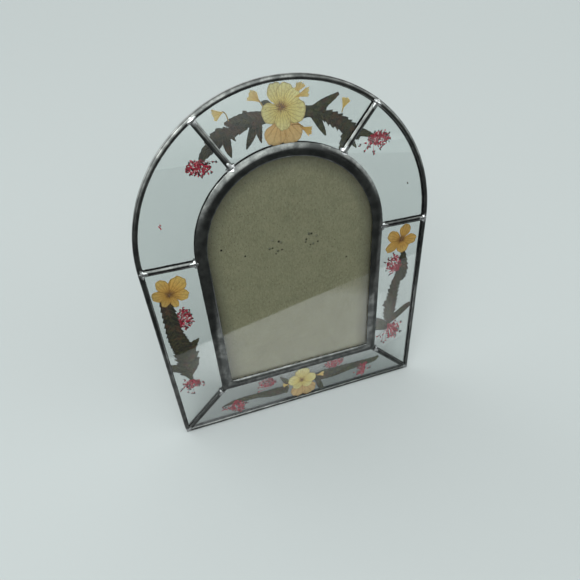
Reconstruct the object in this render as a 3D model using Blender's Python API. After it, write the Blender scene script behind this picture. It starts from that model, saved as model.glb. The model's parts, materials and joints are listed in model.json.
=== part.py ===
"""Arched picture frame of soldered metal came and clear glass, with pressed flowers.

Six glass panels run round the photo opening. Each panel is two sheets of glass with
pressed flowers between them, held in U and H section cames. A chipboard backing
carries the easel leg on a pronged hinge.

The frame is modelled flat: X to the right, Y up the frame, Z out of its face, with
the middle of the glass at Z = 0. It is then leaned back onto its easel leg.
"""
import math

import bmesh
import bpy
from mathutils import Matrix, Vector

MM = 0.001
GAP = 0.3 * MM              # clearance between pieces that touch

# Outline of the frame and of the photo opening
RIM_HALF = 102 * MM         # half the overall width, also the radius of the arch
OPENING_HALF = 66 * MM      # half the outer width of the opening came
OPENING_BOTTOM = 35 * MM
SPRING = 150 * MM           # height at which both arches start
RIM_CORNER = 5 * MM
ARCH_STEPS = 30
CORNER_STEPS = 3

# Cames
RIM_WIDTH = 3.3 * MM
RIM_WALL = 1.0 * MM
OPENING_WIDTH = 8.0 * MM
OPENING_LIP = 3.2 * MM      # depth of the opening came's outer glass channel
OPENING_WEB = 0.9 * MM
BAR_WIDTH = 3.8 * MM
BAR_WEB = 0.8 * MM
CAME_HALF_DEPTH = 2.5 * MM
OPENING_FRONT = 3.0 * MM    # the opening came stands a little proud of the rim
EDGE_ROUND = 0.4 * MM

# Glass, board and leg
SHEET = 1.2 * MM
SPECIMEN_SPACE = 0.8 * MM
SPECIMEN = 0.2 * MM
PHOTO_GLASS = 2.0 * MM
BOARD = 1.8 * MM
LEG = 2.5 * MM
TAB = 0.5 * MM

# Dividing bars: angle from upright of each radial bar, at its inner and outer end
RADIAL_LEFT = (-32.0, -32.0)
RADIAL_RIGHT = (32.5, 34.8)

# Stance
LEAN = math.radians(11)
SPREAD = math.radians(22)   # leg from the back of the frame when open

# Hinge
HINGE_HEIGHT = 141 * MM
HINGE_PLATE = (44 * MM, 19 * MM, 0.8 * MM)
LEAF_PLATE = (15 * MM, 22 * MM, 0.8 * MM)
KNUCKLE = 2.4 * MM
KNUCKLE_BORE = 1.1 * MM
PIN = 0.8 * MM
PRONG_RING = 4.3 * MM
PRONG = 0.55 * MM
PRONG_HOLE = 0.85 * MM
PRONG_TURN = math.radians(20)

# Leg outline below the hinge: width at the top, at the waist and at the foot
LEG_TOP_GAP = 3.2 * MM
LEG_WIDTHS = (34 * MM, 34 * MM, 62 * MM)
LEG_WAIST = 30 * MM

PANELS = ("top", "shoulder_left", "shoulder_right", "side_left", "side_right", "base")

# Pressed flowers, in millimetres on the face of the frame
BLOOMS = {                  # centre and radius of a five-petalled flower
    "bloom_top": (-2, 236.5, 11.2),
    "bloom_side_left": (-85.5, 133.5, 11.4),
    "bloom_side_right": (83, 135.5, 11.6),
    "bloom_base": (0, 25.2, 9.4),
}
HEADS = {                   # centre and half axes of a round or oval flower head
    "bloom_top_lower": (-1.5, 219.6, 13, 4.6),
    "bloom_base_lower": (1, 10.4, 12, 4.6),
    "umbel_shoulder_left": (-53, 208.3, 7.5, 4.2),
    "umbel_shoulder_right": (59, 208.5, 8, 4.2),
    "umbel_side_left_high": (-79, 110.5, 4.6, 8),
    "umbel_side_left_low": (-87.5, 48.5, 7.5, 6.3),
    "umbel_side_right_high": (77.5, 115, 5.2, 7.5),
    "umbel_side_right_low": (82, 50, 8, 9.8),
    "umbel_base_far_left": (-58, 9, 10.5, 3.8),
    "umbel_base_left": (-30, 28, 8, 4.4),
    "umbel_base_right": (29, 29.5, 9, 4),
    "umbel_base_far_right": (57, 11.5, 9, 4.3),
}
LEAVES = {                  # points down the middle of a leaf: x, y, half width
    "leaf_top_left": ((-15.4, 231, 3.2), (-25, 231, 5), (-34, 228, 4.6), (-42.5, 223.6, 1.4)),
    "leaf_top_right": ((11.2, 232, 2.6), (22, 231, 4), (33, 225.5, 4), (43.6, 218.4, 1.8)),
    "leaf_shoulder_left": ((-47.2, 219.2, 1.6), (-50, 216.6, 2.6), (-52.4, 214.4, 1.2)),
    "leaf_shoulder_right": ((49, 217.4, 1.6), (52.5, 215.8, 2.2), (56.4, 214.4, 1)),
    "leaf_side_left": (
        (-90.5, 120.6, 3.6), (-90, 105, 4.8), (-88, 90, 6.4),
        (-86.5, 76, 6.6), (-87, 64, 6.4), (-87, 56.6, 1.2),
    ),
    "leaf_side_right": (
        (86, 122, 2), (88, 112, 3.8), (84.5, 102, 3.8), (80.5, 92, 4), (78.5, 78, 4.8), (77, 64, 1.4),
    ),
    "leaf_side_right_low": ((82.4, 63.6, 1.2), (90, 69.6, 2.4), (95.6, 73, 1)),
    "leaf_base_left": ((-68, 15.6, 1), (-50, 16.6, 2.6), (-30, 16.4, 3.2), (-13.6, 18, 1.6)),
    "leaf_base_right": ((12.6, 19.4, 1.4), (30, 21.4, 3), (50, 21.6, 3.4), (71, 21, 2)),
}
PETALS = 5
PETAL_DEPTH = 0.3           # how far the notch between two petals cuts in
HEAD_STEPS = 12

# Retaining tabs on the opening came: middle, in millimetres, and turn from upright
TAB_SIZE = (7 * MM, 9 * MM)
TABS = {
    "tab_left": (-60, 96, 90),
    "tab_right": (60, 96, 90),
    "tab_arch_left": (-42.1, 192.1, 45),
    "tab_arch_right": (42.1, 192.1, -45),
    "tab_base_left": (-44, 41, 0),
    "tab_base_right": (44, 41, 0),
}

SHEET_FACE = SPECIMEN_SPACE / 2 + SHEET
CHANNEL = SHEET_FACE + GAP
COVER = 10 * MM             # how far cutters run past what they cut
SMOOTH_UP_TO = math.radians(30)


# ---------------------------------------------------------------- scene and finish

def clear_scene():
    for item in list(bpy.data.objects):
        bpy.data.objects.remove(item, do_unlink=True)


def new_collection(name):
    group = bpy.data.collections.new(name)
    bpy.context.scene.collection.children.link(group)
    return group


def finish(name, colour, roughness, metallic=0.0, transmission=0.0):
    material = bpy.data.materials.new(name)
    material.use_nodes = True
    shader = material.node_tree.nodes["Principled BSDF"]
    shader.inputs["Base Color"].default_value = (*colour, 1.0)
    shader.inputs["Roughness"].default_value = roughness
    shader.inputs["Metallic"].default_value = metallic
    shader.inputs["Transmission Weight"].default_value = transmission
    material.diffuse_color = (*colour, 1.0)
    return material


# ---------------------------------------------------------------- outlines

def arch_outline(half, bottom, corner=0.0):
    """A round-topped outline, anticlockwise from its bottom left corner."""
    points = []
    for side, start in ((-1, 180), (1, 270)):
        centre = Vector((side * (half - corner), bottom + corner))
        steps = CORNER_STEPS if corner > 0 else 0
        for step in range(steps + 1):
            turn = math.radians(start + 90 * step / max(steps, 1))
            points.append(centre + corner * Vector((math.cos(turn), math.sin(turn))))
    for step in range(ARCH_STEPS + 1):
        turn = math.pi * step / ARCH_STEPS
        points.append(Vector((half * math.cos(turn), SPRING + half * math.sin(turn))))
    return points


def rim_outline(inset):
    return arch_outline(RIM_HALF - inset, inset, RIM_CORNER - inset)


def opening_outline(inset):
    return arch_outline(OPENING_HALF - inset, OPENING_BOTTOM + inset)


def bloom_outline(x, y, radius):
    """Round petals whose notches fall between them."""
    points = []
    steps = PETALS * 6
    for step in range(steps):
        turn = math.tau * step / steps
        notch = 1 - abs(math.sin(PETALS * turn / 2))
        reach = radius * (1 - PETAL_DEPTH * notch ** 2)
        points.append(MM * (Vector((x, y)) + reach * Vector((math.sin(turn), math.cos(turn)))))
    return points[::-1]


def oval_outline(x, y, across, up):
    turns = [math.tau * step / HEAD_STEPS for step in range(HEAD_STEPS)]
    return [MM * Vector((x + across * math.cos(turn), y + up * math.sin(turn))) for turn in turns]


def leaf_outline(spine):
    """A leaf of the given half widths on both sides of its spine, pointed at its ends."""
    middle = [Vector((x, y)) for x, y, _ in spine]
    left, right = [], []
    for index, (x, y, half) in enumerate(spine):
        ahead = middle[min(index + 1, len(middle) - 1)]
        behind = middle[max(index - 1, 0)]
        along = (ahead - behind).normalized()
        across = Vector((-along.y, along.x))
        left.append(MM * (Vector((x, y)) + half * across))
        right.append(MM * (Vector((x, y)) - half * across))
    return left[::-1] + right


# ---------------------------------------------------------------- solids

def link(item, group, parent=None, material=None):
    group.objects.link(item)
    item.parent = parent
    if item.type == "MESH":
        item.data.shade_smooth()
        item.data.set_sharp_from_angle(angle=SMOOTH_UP_TO)
    if material:
        item.data.materials.append(material)
    return item


def hide_cutter(item):
    item.hide_render = True
    item.display_type = "WIRE"
    return item


def plate(name, outlines, low, high, rounding=0.0):
    """A flat plate between two heights; outlines after the first are holes in it."""
    curve = bpy.data.curves.new(name, "CURVE")
    curve.dimensions = "2D"
    curve.fill_mode = "BOTH"
    curve.extrude = (high - low) / 2 - rounding
    curve.bevel_depth = rounding
    curve.bevel_resolution = 1
    curve.offset = -rounding
    for outline in outlines:
        spline = curve.splines.new("POLY")
        spline.points.add(len(outline) - 1)
        for point, place in zip(spline.points, outline):
            point.co = (place.x, place.y, 0, 1)
        spline.use_cyclic_u = True
    source = bpy.data.objects.new(name, curve)
    bpy.context.scene.collection.objects.link(source)
    evaluated = source.evaluated_get(bpy.context.evaluated_depsgraph_get())
    mesh = bpy.data.meshes.new_from_object(evaluated)
    bpy.data.objects.remove(source)
    bpy.data.curves.remove(curve)
    shape = bmesh.new()
    shape.from_mesh(mesh)
    bmesh.ops.remove_doubles(shape, verts=shape.verts, dist=0.001 * MM)
    bmesh.ops.recalc_face_normals(shape, faces=shape.faces)
    bmesh.ops.translate(shape, verts=shape.verts, vec=(0, 0, (low + high) / 2))
    shape.to_mesh(mesh)
    shape.free()
    mesh.name = name
    return bpy.data.objects.new(name, mesh)


def carve(item, cutter, operation="DIFFERENCE"):
    modifier = item.modifiers.new(cutter.name, "BOOLEAN")
    modifier.object = cutter
    modifier.operation = operation


def tube(name, radius, start, end, sides=16):
    """A solid rod along X between two places."""
    shape = bmesh.new()
    bmesh.ops.create_cone(
        shape, cap_ends=True, segments=sides, radius1=radius, radius2=radius, depth=end - start,
        matrix=Matrix.Translation(((start + end) / 2, 0, 0)) @ Matrix.Rotation(math.pi / 2, 4, "Y"),
    )
    mesh = bpy.data.meshes.new(name)
    shape.to_mesh(mesh)
    shape.free()
    return bpy.data.objects.new(name, mesh)


def block(name, low, high):
    size = Vector(high) - Vector(low)
    middle = (Vector(high) + Vector(low)) / 2
    shape = bmesh.new()
    bmesh.ops.create_cube(shape, size=1.0, matrix=Matrix.Translation(middle) @ Matrix.Diagonal((*size, 1)))
    mesh = bpy.data.meshes.new(name)
    shape.to_mesh(mesh)
    shape.free()
    return bpy.data.objects.new(name, mesh)


# ---------------------------------------------------------------- cames and bars

def build_rim(group, cutters, stand, material):
    rim = plate(
        "rim_came", [rim_outline(0), rim_outline(RIM_WIDTH)],
        -CAME_HALF_DEPTH, CAME_HALF_DEPTH, EDGE_ROUND,
    )
    channel = plate("rim_channel", [rim_outline(RIM_WALL), rim_outline(RIM_WIDTH + COVER)], -CHANNEL, CHANNEL)
    link(hide_cutter(channel), cutters, stand)
    carve(link(rim, group, stand, material), channel)


def build_opening_came(group, cutters, stand, material):
    """Wide came: a channel outwards for the panels, a step at the back for the photo."""
    came = plate(
        "opening_came", [opening_outline(0), opening_outline(OPENING_WIDTH)],
        -CAME_HALF_DEPTH, OPENING_FRONT, EDGE_ROUND,
    )
    link(came, group, stand, material)
    channel = plate(
        "opening_channel", [opening_outline(-COVER), opening_outline(OPENING_LIP)], -CHANNEL, CHANNEL,
    )
    rebate = plate(
        "photo_rebate", [opening_outline(OPENING_LIP + OPENING_WEB)], -COVER, CHANNEL,
    )
    for cutter in (channel, rebate):
        link(hide_cutter(cutter), cutters, stand)
        carve(came, cutter)


def radial_ends(turns):
    """Inner and outer end of a radial bar's middle line, for its angles from upright."""
    ends = []
    for radius, turn in zip((OPENING_HALF, RIM_HALF), turns):
        angle = math.radians(turn)
        ends.append(Vector((radius * math.sin(angle), SPRING + radius * math.cos(angle))))
    return ends


def bar_lines():
    """The middle line of each dividing bar, from the opening to the rim."""
    lines = {
        "bar_radial_left": radial_ends(RADIAL_LEFT),
        "bar_radial_right": radial_ends(RADIAL_RIGHT),
    }
    for side, name in ((-1, "left"), (1, "right")):
        lines["bar_spring_" + name] = [
            Vector((side * OPENING_HALF, SPRING)), Vector((side * RIM_HALF, SPRING)),
        ]
        lines["bar_mitre_" + name] = [
            Vector((side * OPENING_HALF, OPENING_BOTTOM)), Vector((side * RIM_HALF, 0)),
        ]
    return lines


def build_bars(group, cutters, stand, material):
    """H-section bars, clipped a gap short of both cames."""
    clip = plate("bar_clip", [rim_outline(RIM_WIDTH + GAP), opening_outline(-GAP)], -COVER, COVER)
    link(hide_cutter(clip), cutters, stand)
    half, web, depth = BAR_WIDTH / 2, BAR_WEB / 2, CAME_HALF_DEPTH
    quarter = [
        (web, 0), (web, CHANNEL), (half, CHANNEL), (half, depth - EDGE_ROUND), (half - EDGE_ROUND, depth),
    ]
    right = [Vector((x, -y)) for x, y in quarter[:0:-1]] + [Vector(point) for point in quarter[1:]]
    section = right + [Vector((-point.x, point.y)) for point in reversed(right)]
    for name, (inner, outer) in bar_lines().items():
        along = (outer - inner).normalized()
        across = Vector((along.y, -along.x))
        bar = plate(name, [section], -COVER, (outer - inner).length + COVER)
        bar.matrix_local = Matrix((
            (across.x, 0, -along.x, inner.x),
            (across.y, 0, -along.y, inner.y),
            (0, 1, 0, 0),
            (0, 0, 0, 1),
        )) @ Matrix.Rotation(math.pi, 4, "Y")
        link(bar, group, stand, material)
        carve(bar, clip, "INTERSECT")


# ---------------------------------------------------------------- glass and flowers

def panel_outline(first, second, beyond=()):
    """The field between two bars' webs, run past both cames; beyond rounds the arch."""
    edges = []
    for (inner, outer), side in ((first, -1), (second, 1)):
        along = (outer - inner).normalized()
        aside = side * (BAR_WEB / 2 + GAP) * Vector((-along.y, along.x))
        edges.append((inner - COVER * along + aside, outer + COVER * along + aside))
    return [edges[0][0], edges[0][1], *beyond, edges[1][1], edges[1][0]]


def panel_outlines():
    lines = bar_lines()
    far = RIM_HALF + 2 * COVER
    roof = SPRING + far
    left_corner, right_corner = Vector((-far, roof)), Vector((far, roof))
    pairs = {
        "top": ("bar_radial_left", "bar_radial_right", ()),
        "shoulder_left": ("bar_spring_left", "bar_radial_left", (left_corner,)),
        "shoulder_right": ("bar_radial_right", "bar_spring_right", (right_corner,)),
        "side_left": ("bar_mitre_left", "bar_spring_left", ()),
        "side_right": ("bar_spring_right", "bar_mitre_right", ()),
        "base": ("bar_mitre_right", "bar_mitre_left", ()),
    }
    outlines = {}
    for name, (first, second, beyond) in pairs.items():
        if name == "top":
            beyond = (Vector((-far * 0.7, roof)), Vector((far * 0.7, roof)))
        outlines[name] = panel_outline(lines[first], lines[second], beyond)[::-1]
    return outlines


def build_panels(group, cutters, stand, material):
    """A front and a back sheet for each panel, cut to sit in the came channels."""
    clip = plate(
        "glass_clip",
        [rim_outline(RIM_WALL + GAP), opening_outline(OPENING_LIP - GAP)],
        -COVER, COVER,
    )
    link(hide_cutter(clip), cutters, stand)
    for panel, outline in panel_outlines().items():
        for face, side in (("front", 1), ("back", -1)):
            low, high = sorted((side * SPECIMEN_SPACE / 2, side * SHEET_FACE))
            sheet = plate(f"glass_{panel}_{face}", [outline], low, high)
            link(sheet, group, stand, material)
            carve(sheet, clip, "INTERSECT")


def build_specimens(group, stand, finishes):
    """Pressed flowers as thin solids that lie side by side between the sheets."""
    outlines = {name: bloom_outline(*values) for name, values in BLOOMS.items()}
    outlines.update({name: oval_outline(*values) for name, values in HEADS.items()})
    outlines.update({name: leaf_outline(spine) for name, spine in LEAVES.items()})
    for name, outline in outlines.items():
        kind = name.split("_")[0]
        specimen = plate(name, [outline], -SPECIMEN / 2, SPECIMEN / 2)
        link(specimen, group, stand, finishes[kind])


# ---------------------------------------------------------------- photo opening

def prong_ring(x, y):
    """Four places on a ring, where a hinge's prongs go through board."""
    turns = [PRONG_TURN + math.pi / 2 * step for step in range(4)]
    return [Vector((x + PRONG_RING * math.cos(turn), y + PRONG_RING * math.sin(turn))) for turn in turns]


def ring_centres(plate_size, ahead):
    """Middle of the two prong rings of a hinge plate, from the hinge axis."""
    width, length, _ = plate_size
    if width > length:
        spread = width * 0.29
        return [Vector((-spread, ahead * length / 2)), Vector((spread, ahead * length / 2))]
    return [Vector((0, ahead * length * 0.32)), Vector((0, ahead * length * 0.75))]


def cone(name, place, low, high, wide, narrow, sides):
    """A round rod or point along Z, wide at the low end."""
    shape = bmesh.new()
    bmesh.ops.create_cone(
        shape, cap_ends=True, segments=sides, radius1=wide, radius2=narrow, depth=high - low,
        matrix=Matrix.Translation((place.x, place.y, (low + high) / 2)),
    )
    mesh = bpy.data.meshes.new(name)
    shape.to_mesh(mesh)
    shape.free()
    return bpy.data.objects.new(name, mesh)


def build_opening(group, cutters, stand, materials):
    inset = OPENING_LIP + OPENING_WEB + GAP
    glass = plate("photo_glass", [opening_outline(inset)], SHEET_FACE - PHOTO_GLASS, SHEET_FACE)
    link(glass, group, stand, materials["glass"])
    board = plate(
        "backing_board", [opening_outline(inset)], -CAME_HALF_DEPTH, BOARD - CAME_HALF_DEPTH,
    )
    link(board, group, stand, materials["board"])
    for centre in ring_centres(HINGE_PLATE, 1):
        for place in prong_ring(centre.x, HINGE_HEIGHT + centre.y):
            hole = cone("board_hole", place, -COVER, 0, PRONG_HOLE, PRONG_HOLE, 8)
            link(hide_cutter(hole), cutters, stand)
            carve(board, hole)


def build_tabs(group, stand, material):
    back = -CAME_HALF_DEPTH - GAP
    across, along = TAB_SIZE
    corners = [(-across, -along), (across, -along), (across, along), (-across, along)]
    outline = [Vector(corner) / 2 for corner in corners]
    for name, (x, y, turn) in TABS.items():
        tab = plate(name, [outline], back - TAB, back)
        tab.location = (x * MM, y * MM, 0)
        tab.rotation_euler.z = math.radians(turn)
        link(tab, group, stand, material)


# ---------------------------------------------------------------- hinge and leg

def build_hinge_half(name, size, ahead, knuckles, cutters, parent, group, material):
    """A plate that lies in front of or behind the axis, its knuckles and its prongs."""
    width, length, thick = size
    face, back = KNUCKLE, KNUCKLE - thick
    reach = BOARD + GAP + 0.05 * MM if ahead > 0 else 0
    if ahead < 0:
        face, back = thick - KNUCKLE, -KNUCKLE
        reach = LEG + 0.4 * MM
    ends = sorted((0, ahead * length))
    half = link(block(name, (-width / 2, ends[0], back), (width / 2, ends[1], face)), group, parent, material)
    if ahead > 0:
        inner = knuckles[0][1]
        notch = tube(name + "_notch", KNUCKLE + GAP, inner, -inner)
        carve(half, link(hide_cutter(notch), cutters, parent))
    for start, end in knuckles:
        barrel = tube(name + "_knuckle", KNUCKLE, start, end)
        carve(half, link(hide_cutter(barrel), cutters, parent), "UNION")
        bore = tube(name + "_bore", KNUCKLE_BORE, start - GAP / 2, end + GAP / 2)
        carve(half, link(hide_cutter(bore), cutters, parent))
    for centre in ring_centres(size, ahead):
        for place in prong_ring(centre.x, centre.y):
            prong = cone(name + "_prong", place, face - thick / 2, face + reach, PRONG, PRONG / 4, 4)
            carve(half, link(hide_cutter(prong), cutters, parent), "UNION")
    return half


def build_leg(cutters, group, parent, material, table):
    """A strut of board that widens to a foot cut level with the table."""
    top, waist, foot = (width / 2 for width in LEG_WIDTHS)
    length = HINGE_HEIGHT
    outline = [
        Vector((-foot, -length - COVER)), Vector((foot, -length - COVER)),
        Vector((waist, -LEG_WAIST)), Vector((top, -LEG_TOP_GAP)),
        Vector((-top, -LEG_TOP_GAP)), Vector((-waist, -LEG_WAIST)),
    ]
    front = 1.3 * MM
    leg = link(plate("easel_leg", [outline], front - LEG, front), group, parent, material)
    for centre in ring_centres(LEAF_PLATE, -1):
        for place in prong_ring(centre.x, centre.y):
            hole = cone("leg_hole", place, -COVER, COVER, PRONG_HOLE, PRONG_HOLE, 8)
            carve(leg, link(hide_cutter(hole), cutters, parent))
    floor = block("floor_cut", (-1, -1, table - 1), (1, 1, table))
    carve(leg, link(hide_cutter(floor), cutters))
    return floor


def build_easel(cutters, group, stand, materials):
    axis_depth = -CAME_HALF_DEPTH - GAP - KNUCKLE
    fixed = bpy.data.objects.new("hinge_axis", None)
    link(fixed, group, stand)
    fixed.location = (0, HINGE_HEIGHT, axis_depth)
    swung = bpy.data.objects.new("leg_axis", None)
    link(swung, group, fixed)
    swung.rotation_euler.x = SPREAD
    leaf_half = LEAF_PLATE[0] / 2
    plate_half = HINGE_PLATE[0] / 2
    outer = [(-plate_half, -leaf_half - GAP), (leaf_half + GAP, plate_half)]
    build_hinge_half("hinge_plate", HINGE_PLATE, 1, outer, cutters, fixed, group, materials["steel"])
    build_hinge_half("hinge_leaf", LEAF_PLATE, -1, [(-leaf_half, leaf_half)], cutters, swung, group,
                     materials["steel"])
    pin = tube("hinge_pin", PIN, -plate_half - 2 * GAP, plate_half + 2 * GAP, 12)
    link(pin, group, fixed, materials["steel"])
    # the rim stands on its lower back edge
    table = -(CAME_HALF_DEPTH - EDGE_ROUND) * math.sin(LEAN)
    return build_leg(cutters, group, swung, materials["board"], table), swung


# ---------------------------------------------------------------- whole frame

def world_box(group):
    """Lowest and highest corner of every solid in a collection."""
    depsgraph = bpy.context.evaluated_depsgraph_get()
    low, high = Vector((math.inf,) * 3), Vector((-math.inf,) * 3)
    for item in group.objects:
        if item.type != "MESH":
            continue
        mesh = item.evaluated_get(depsgraph).data
        for vertex in mesh.vertices:
            place = item.matrix_world @ vertex.co
            low = Vector(map(min, low, place))
            high = Vector(map(max, high, place))
    return low, high


def build_frame():
    clear_scene()
    group = new_collection("pressed_flower_frame")
    cutters = new_collection("cutters")
    materials = {
        "came": finish("dark solder", (0.12, 0.12, 0.125), 0.35, metallic=1.0),
        "glass": finish("clear glass", (0.9, 0.96, 0.94), 0.02, transmission=1.0),
        "board": finish("chipboard", (0.30, 0.29, 0.21), 0.85),
        "steel": finish("tinned steel", (0.5, 0.5, 0.5), 0.35, metallic=1.0),
        "bloom": finish("pressed petal", (0.62, 0.42, 0.12), 0.7),
        "umbel": finish("pressed red flower", (0.28, 0.02, 0.04), 0.7),
        "leaf": finish("pressed leaf", (0.07, 0.07, 0.03), 0.7),
    }
    stand = bpy.data.objects.new("stand", None)
    link(stand, group)
    stand.rotation_euler.x = math.pi / 2 - LEAN
    build_rim(group, cutters, stand, materials["came"])
    build_opening_came(group, cutters, stand, materials["came"])
    build_bars(group, cutters, stand, materials["came"])
    build_panels(group, cutters, stand, materials["glass"])
    build_specimens(group, stand, materials)
    build_opening(group, cutters, stand, materials)
    build_tabs(group, stand, materials["steel"])
    floor, swung = build_easel(cutters, group, stand, materials)
    bpy.context.view_layer.update()

    # stand the frame with the middle of its footprint at the origin
    low, high = world_box(group)
    shift = -Vector(((low.x + high.x) / 2, (low.y + high.y) / 2, low.z))
    stand.location = shift
    floor.location = shift
    bpy.context.view_layer.update()
    print("hinge axis", [round(value, 5) for value in swung.matrix_world.translation])
    print("lowest, highest", [[round(value, 5) for value in corner] for corner in world_box(group)])


build_frame()
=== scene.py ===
"""Pressed flower frame: soldered cames, clear glass, dried flowers and an easel back.

Every shape is laid out flat in millimetres on the face of the frame: X to the right,
Y up the frame, Z out of its face, with the middle of the glass at Z = 0. SET_UP then
leans it onto the table. The leg is laid out from its hinge and uses LEG_SET_UP.
"""

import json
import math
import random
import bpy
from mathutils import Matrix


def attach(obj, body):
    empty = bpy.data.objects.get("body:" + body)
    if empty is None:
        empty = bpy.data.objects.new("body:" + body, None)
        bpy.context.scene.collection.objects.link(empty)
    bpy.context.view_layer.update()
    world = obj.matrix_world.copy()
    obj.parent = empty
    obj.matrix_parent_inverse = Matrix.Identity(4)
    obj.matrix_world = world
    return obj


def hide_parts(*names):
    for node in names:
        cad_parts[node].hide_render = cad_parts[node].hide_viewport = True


bl_info = {
    "name": "Pressed Flower Frame",
    "version": (1, 0, 0),
    "blender": (4, 5, 0),
    "location": "3D View > Sidebar > Flower Frame",
    "description": "Builds an arched frame of soldered came and glass with pressed flowers",
    "category": "Object",
}

from functools import partial

import bmesh
import bpy
from bpy.props import FloatProperty, FloatVectorProperty, IntProperty, PointerProperty
from mathutils import Matrix, Vector, noise

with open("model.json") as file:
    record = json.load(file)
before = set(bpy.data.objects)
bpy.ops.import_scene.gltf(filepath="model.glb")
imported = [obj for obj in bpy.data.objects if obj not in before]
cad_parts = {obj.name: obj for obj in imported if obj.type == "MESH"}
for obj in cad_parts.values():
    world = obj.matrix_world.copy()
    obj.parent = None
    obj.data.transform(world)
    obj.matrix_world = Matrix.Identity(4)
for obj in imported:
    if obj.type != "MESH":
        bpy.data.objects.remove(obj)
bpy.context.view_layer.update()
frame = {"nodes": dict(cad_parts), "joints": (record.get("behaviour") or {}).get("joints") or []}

HINGE = Vector(frame["joints"][0]["pos_m"])
LEAN = math.radians(11)
SPREAD = math.radians(22)
HINGE_ON_FRAME = Vector((0, 141, -5.2))
FLAT_TO_TABLE = Matrix.Translation(HINGE) @ Matrix.Rotation(math.pi / 2 - LEAN, 4, "X")
SET_UP = FLAT_TO_TABLE @ Matrix.Scale(0.001, 4) @ Matrix.Translation(-HINGE_ON_FRAME)
LEG_SET_UP = FLAT_TO_TABLE @ Matrix.Rotation(SPREAD, 4, "X") @ Matrix.Scale(0.001, 4)

# Outlines shared by the cames, in millimetres
RIM = 102.0
OPENING = 66.0
OPENING_BOTTOM = 35.0
SPRING = 150.0
RIM_CORNER = 5.0
FACE = 1.6                  # front of the glass panels
RIM_WIDTH = 3.3
OPENING_WIDTH = 8.0

BARS = {
    "bar_radial_left": ((-34.97, 205.97), (-54.05, 236.5)),
    "bar_radial_right": ((35.46, 205.66), (58.21, 233.76)),
    "bar_spring_left": ((-66, 150), (-102, 150)),
    "bar_spring_right": ((66, 150), (102, 150)),
    "bar_mitre_left": ((-66, 35), (-102, 0)),
    "bar_mitre_right": ((66, 35), (102, 0)),
}


# ------------------------------------------------------------------ colour and nodes

BLOB = 1000.0               # noise scale whose blobs are about a millimetre across


def srgb(code):
    """Linear RGBA from an sRGB hex code."""
    parts = [int(code[i:i + 2], 16) / 255 for i in (1, 3, 5)]
    return (*(c / 12.92 if c <= 0.04045 else ((c + 0.055) / 1.055) ** 2.4 for c in parts), 1.0)


def feed(node, inputs):
    """Sets a node's inputs to values, or links them to the outputs that feed them."""
    for key, value in inputs.items():
        if isinstance(value, bpy.types.NodeSocket):
            node.id_data.links.new(value, node.inputs[key])
        else:
            node.inputs[key].default_value = value


def add_node(tree, kind, inputs=None, output=0, stops=(), **settings):
    """Adds a node with its settings, its inputs and any ramp stops. Returns an output."""
    node = tree.nodes.new("ShaderNode" + kind)
    for key, value in settings.items():
        setattr(node, key, value)
    feed(node, inputs or {})
    for index, (place, colour) in enumerate(stops):
        elements = node.color_ramp.elements
        element = elements[index] if index < 2 else elements.new(place)
        element.position = place
        element.color = srgb(colour) if isinstance(colour, str) else (colour, colour, colour, 1)
    return node.outputs[output]


def new_material(name):
    """A node material, what adds a node to it, its shader and its place on the object."""
    material = bpy.data.materials.new(name)
    material.use_nodes = True
    node = partial(add_node, material.node_tree)
    return material, node, material.node_tree.nodes["Principled BSDF"], node("TexCoord", output="Object")


# ------------------------------------------------------------------ materials

# A Mix node of colours: its share, under and over sockets and the one that gives the mix
SHARE, UNDER, OVER, MIXED = 0, 6, 7, 2


def patinated_came(colour, worn):
    """Drawn lead-tin came under a thin dark patina: satin pewter grey that catches a
    crisp highlight along its crown, with soft streaks where the patina is rubbed and
    a fine pitting."""
    material, node, shader, place = new_material("patinated lead-tin came")
    streaks, pits = (
        node("TexNoise", {"Vector": place, "Scale": BLOB / size, "Detail": detail, "Roughness": 0.6})
        for size, detail in ((6, 4.0), (0.9, 3.0))
    )
    rubbed = node("ValToRGB", {"Fac": streaks}, stops=[(0.42, 0.0), (0.66, 1.0)])
    pitted = node("ValToRGB", {"Fac": pits}, stops=[(0.28, 0.7), (0.4, 0.0)])
    metal = (*colour, 1)
    for share, over in ((rubbed, (*worn, 1)), (pitted, srgb("#393b3d"))):
        metal = node("Mix", {SHARE: share, UNDER: metal, OVER: over}, MIXED, data_type="RGBA")
    relief = node("Math", {0: pits, 1: streaks}, operation="ADD")
    feed(shader, {
        "Base Color": metal, "Metallic": 1.0,
        "Roughness": node("ValToRGB", {"Fac": streaks}, stops=[(0.35, 0.21), (0.7, 0.14)]),
        "Normal": node("Bump", {"Strength": 0.35, "Distance": 0.00003, "Height": relief}),
    })
    return material


def bright_solder():
    """Tin-lead solder left by the iron: a little paler than the came, smooth and slick,
    with a slow puddled ripple."""
    material, node, shader, place = new_material("tin-lead solder")
    puddle = node("TexNoise", {"Vector": place, "Scale": BLOB / 2.4, "Detail": 2.0, "Roughness": 0.5})
    feed(shader, {
        "Base Color": node("ValToRGB", {"Fac": puddle}, stops=[(0.3, "#787a7b"), (0.65, "#a4a6a6")]),
        "Metallic": 1.0,
        "Roughness": node("ValToRGB", {"Fac": puddle}, stops=[(0.3, 0.27), (0.7, 0.17)]),
        "Normal": node("Bump", {"Strength": 0.35, "Distance": 0.00008, "Height": puddle}),
    })
    return material


def sheet_glass():
    """Drawn soda-lime sheet glass: clear, faintly grey-green, with a slow ripple."""
    material, node, shader, place = new_material("soda-lime sheet glass")
    ripple = node("TexNoise", {"Vector": place, "Scale": BLOB / 22, "Detail": 1.0, "Roughness": 0.4})
    feed(shader, {
        "Base Color": srgb("#f1f4f3"), "Roughness": 0.0, "IOR": 1.52, "Transmission Weight": 1.0,
        "Normal": node("Bump", {"Strength": 0.25, "Distance": 0.00002, "Height": ripple}),
    })
    return material


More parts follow.
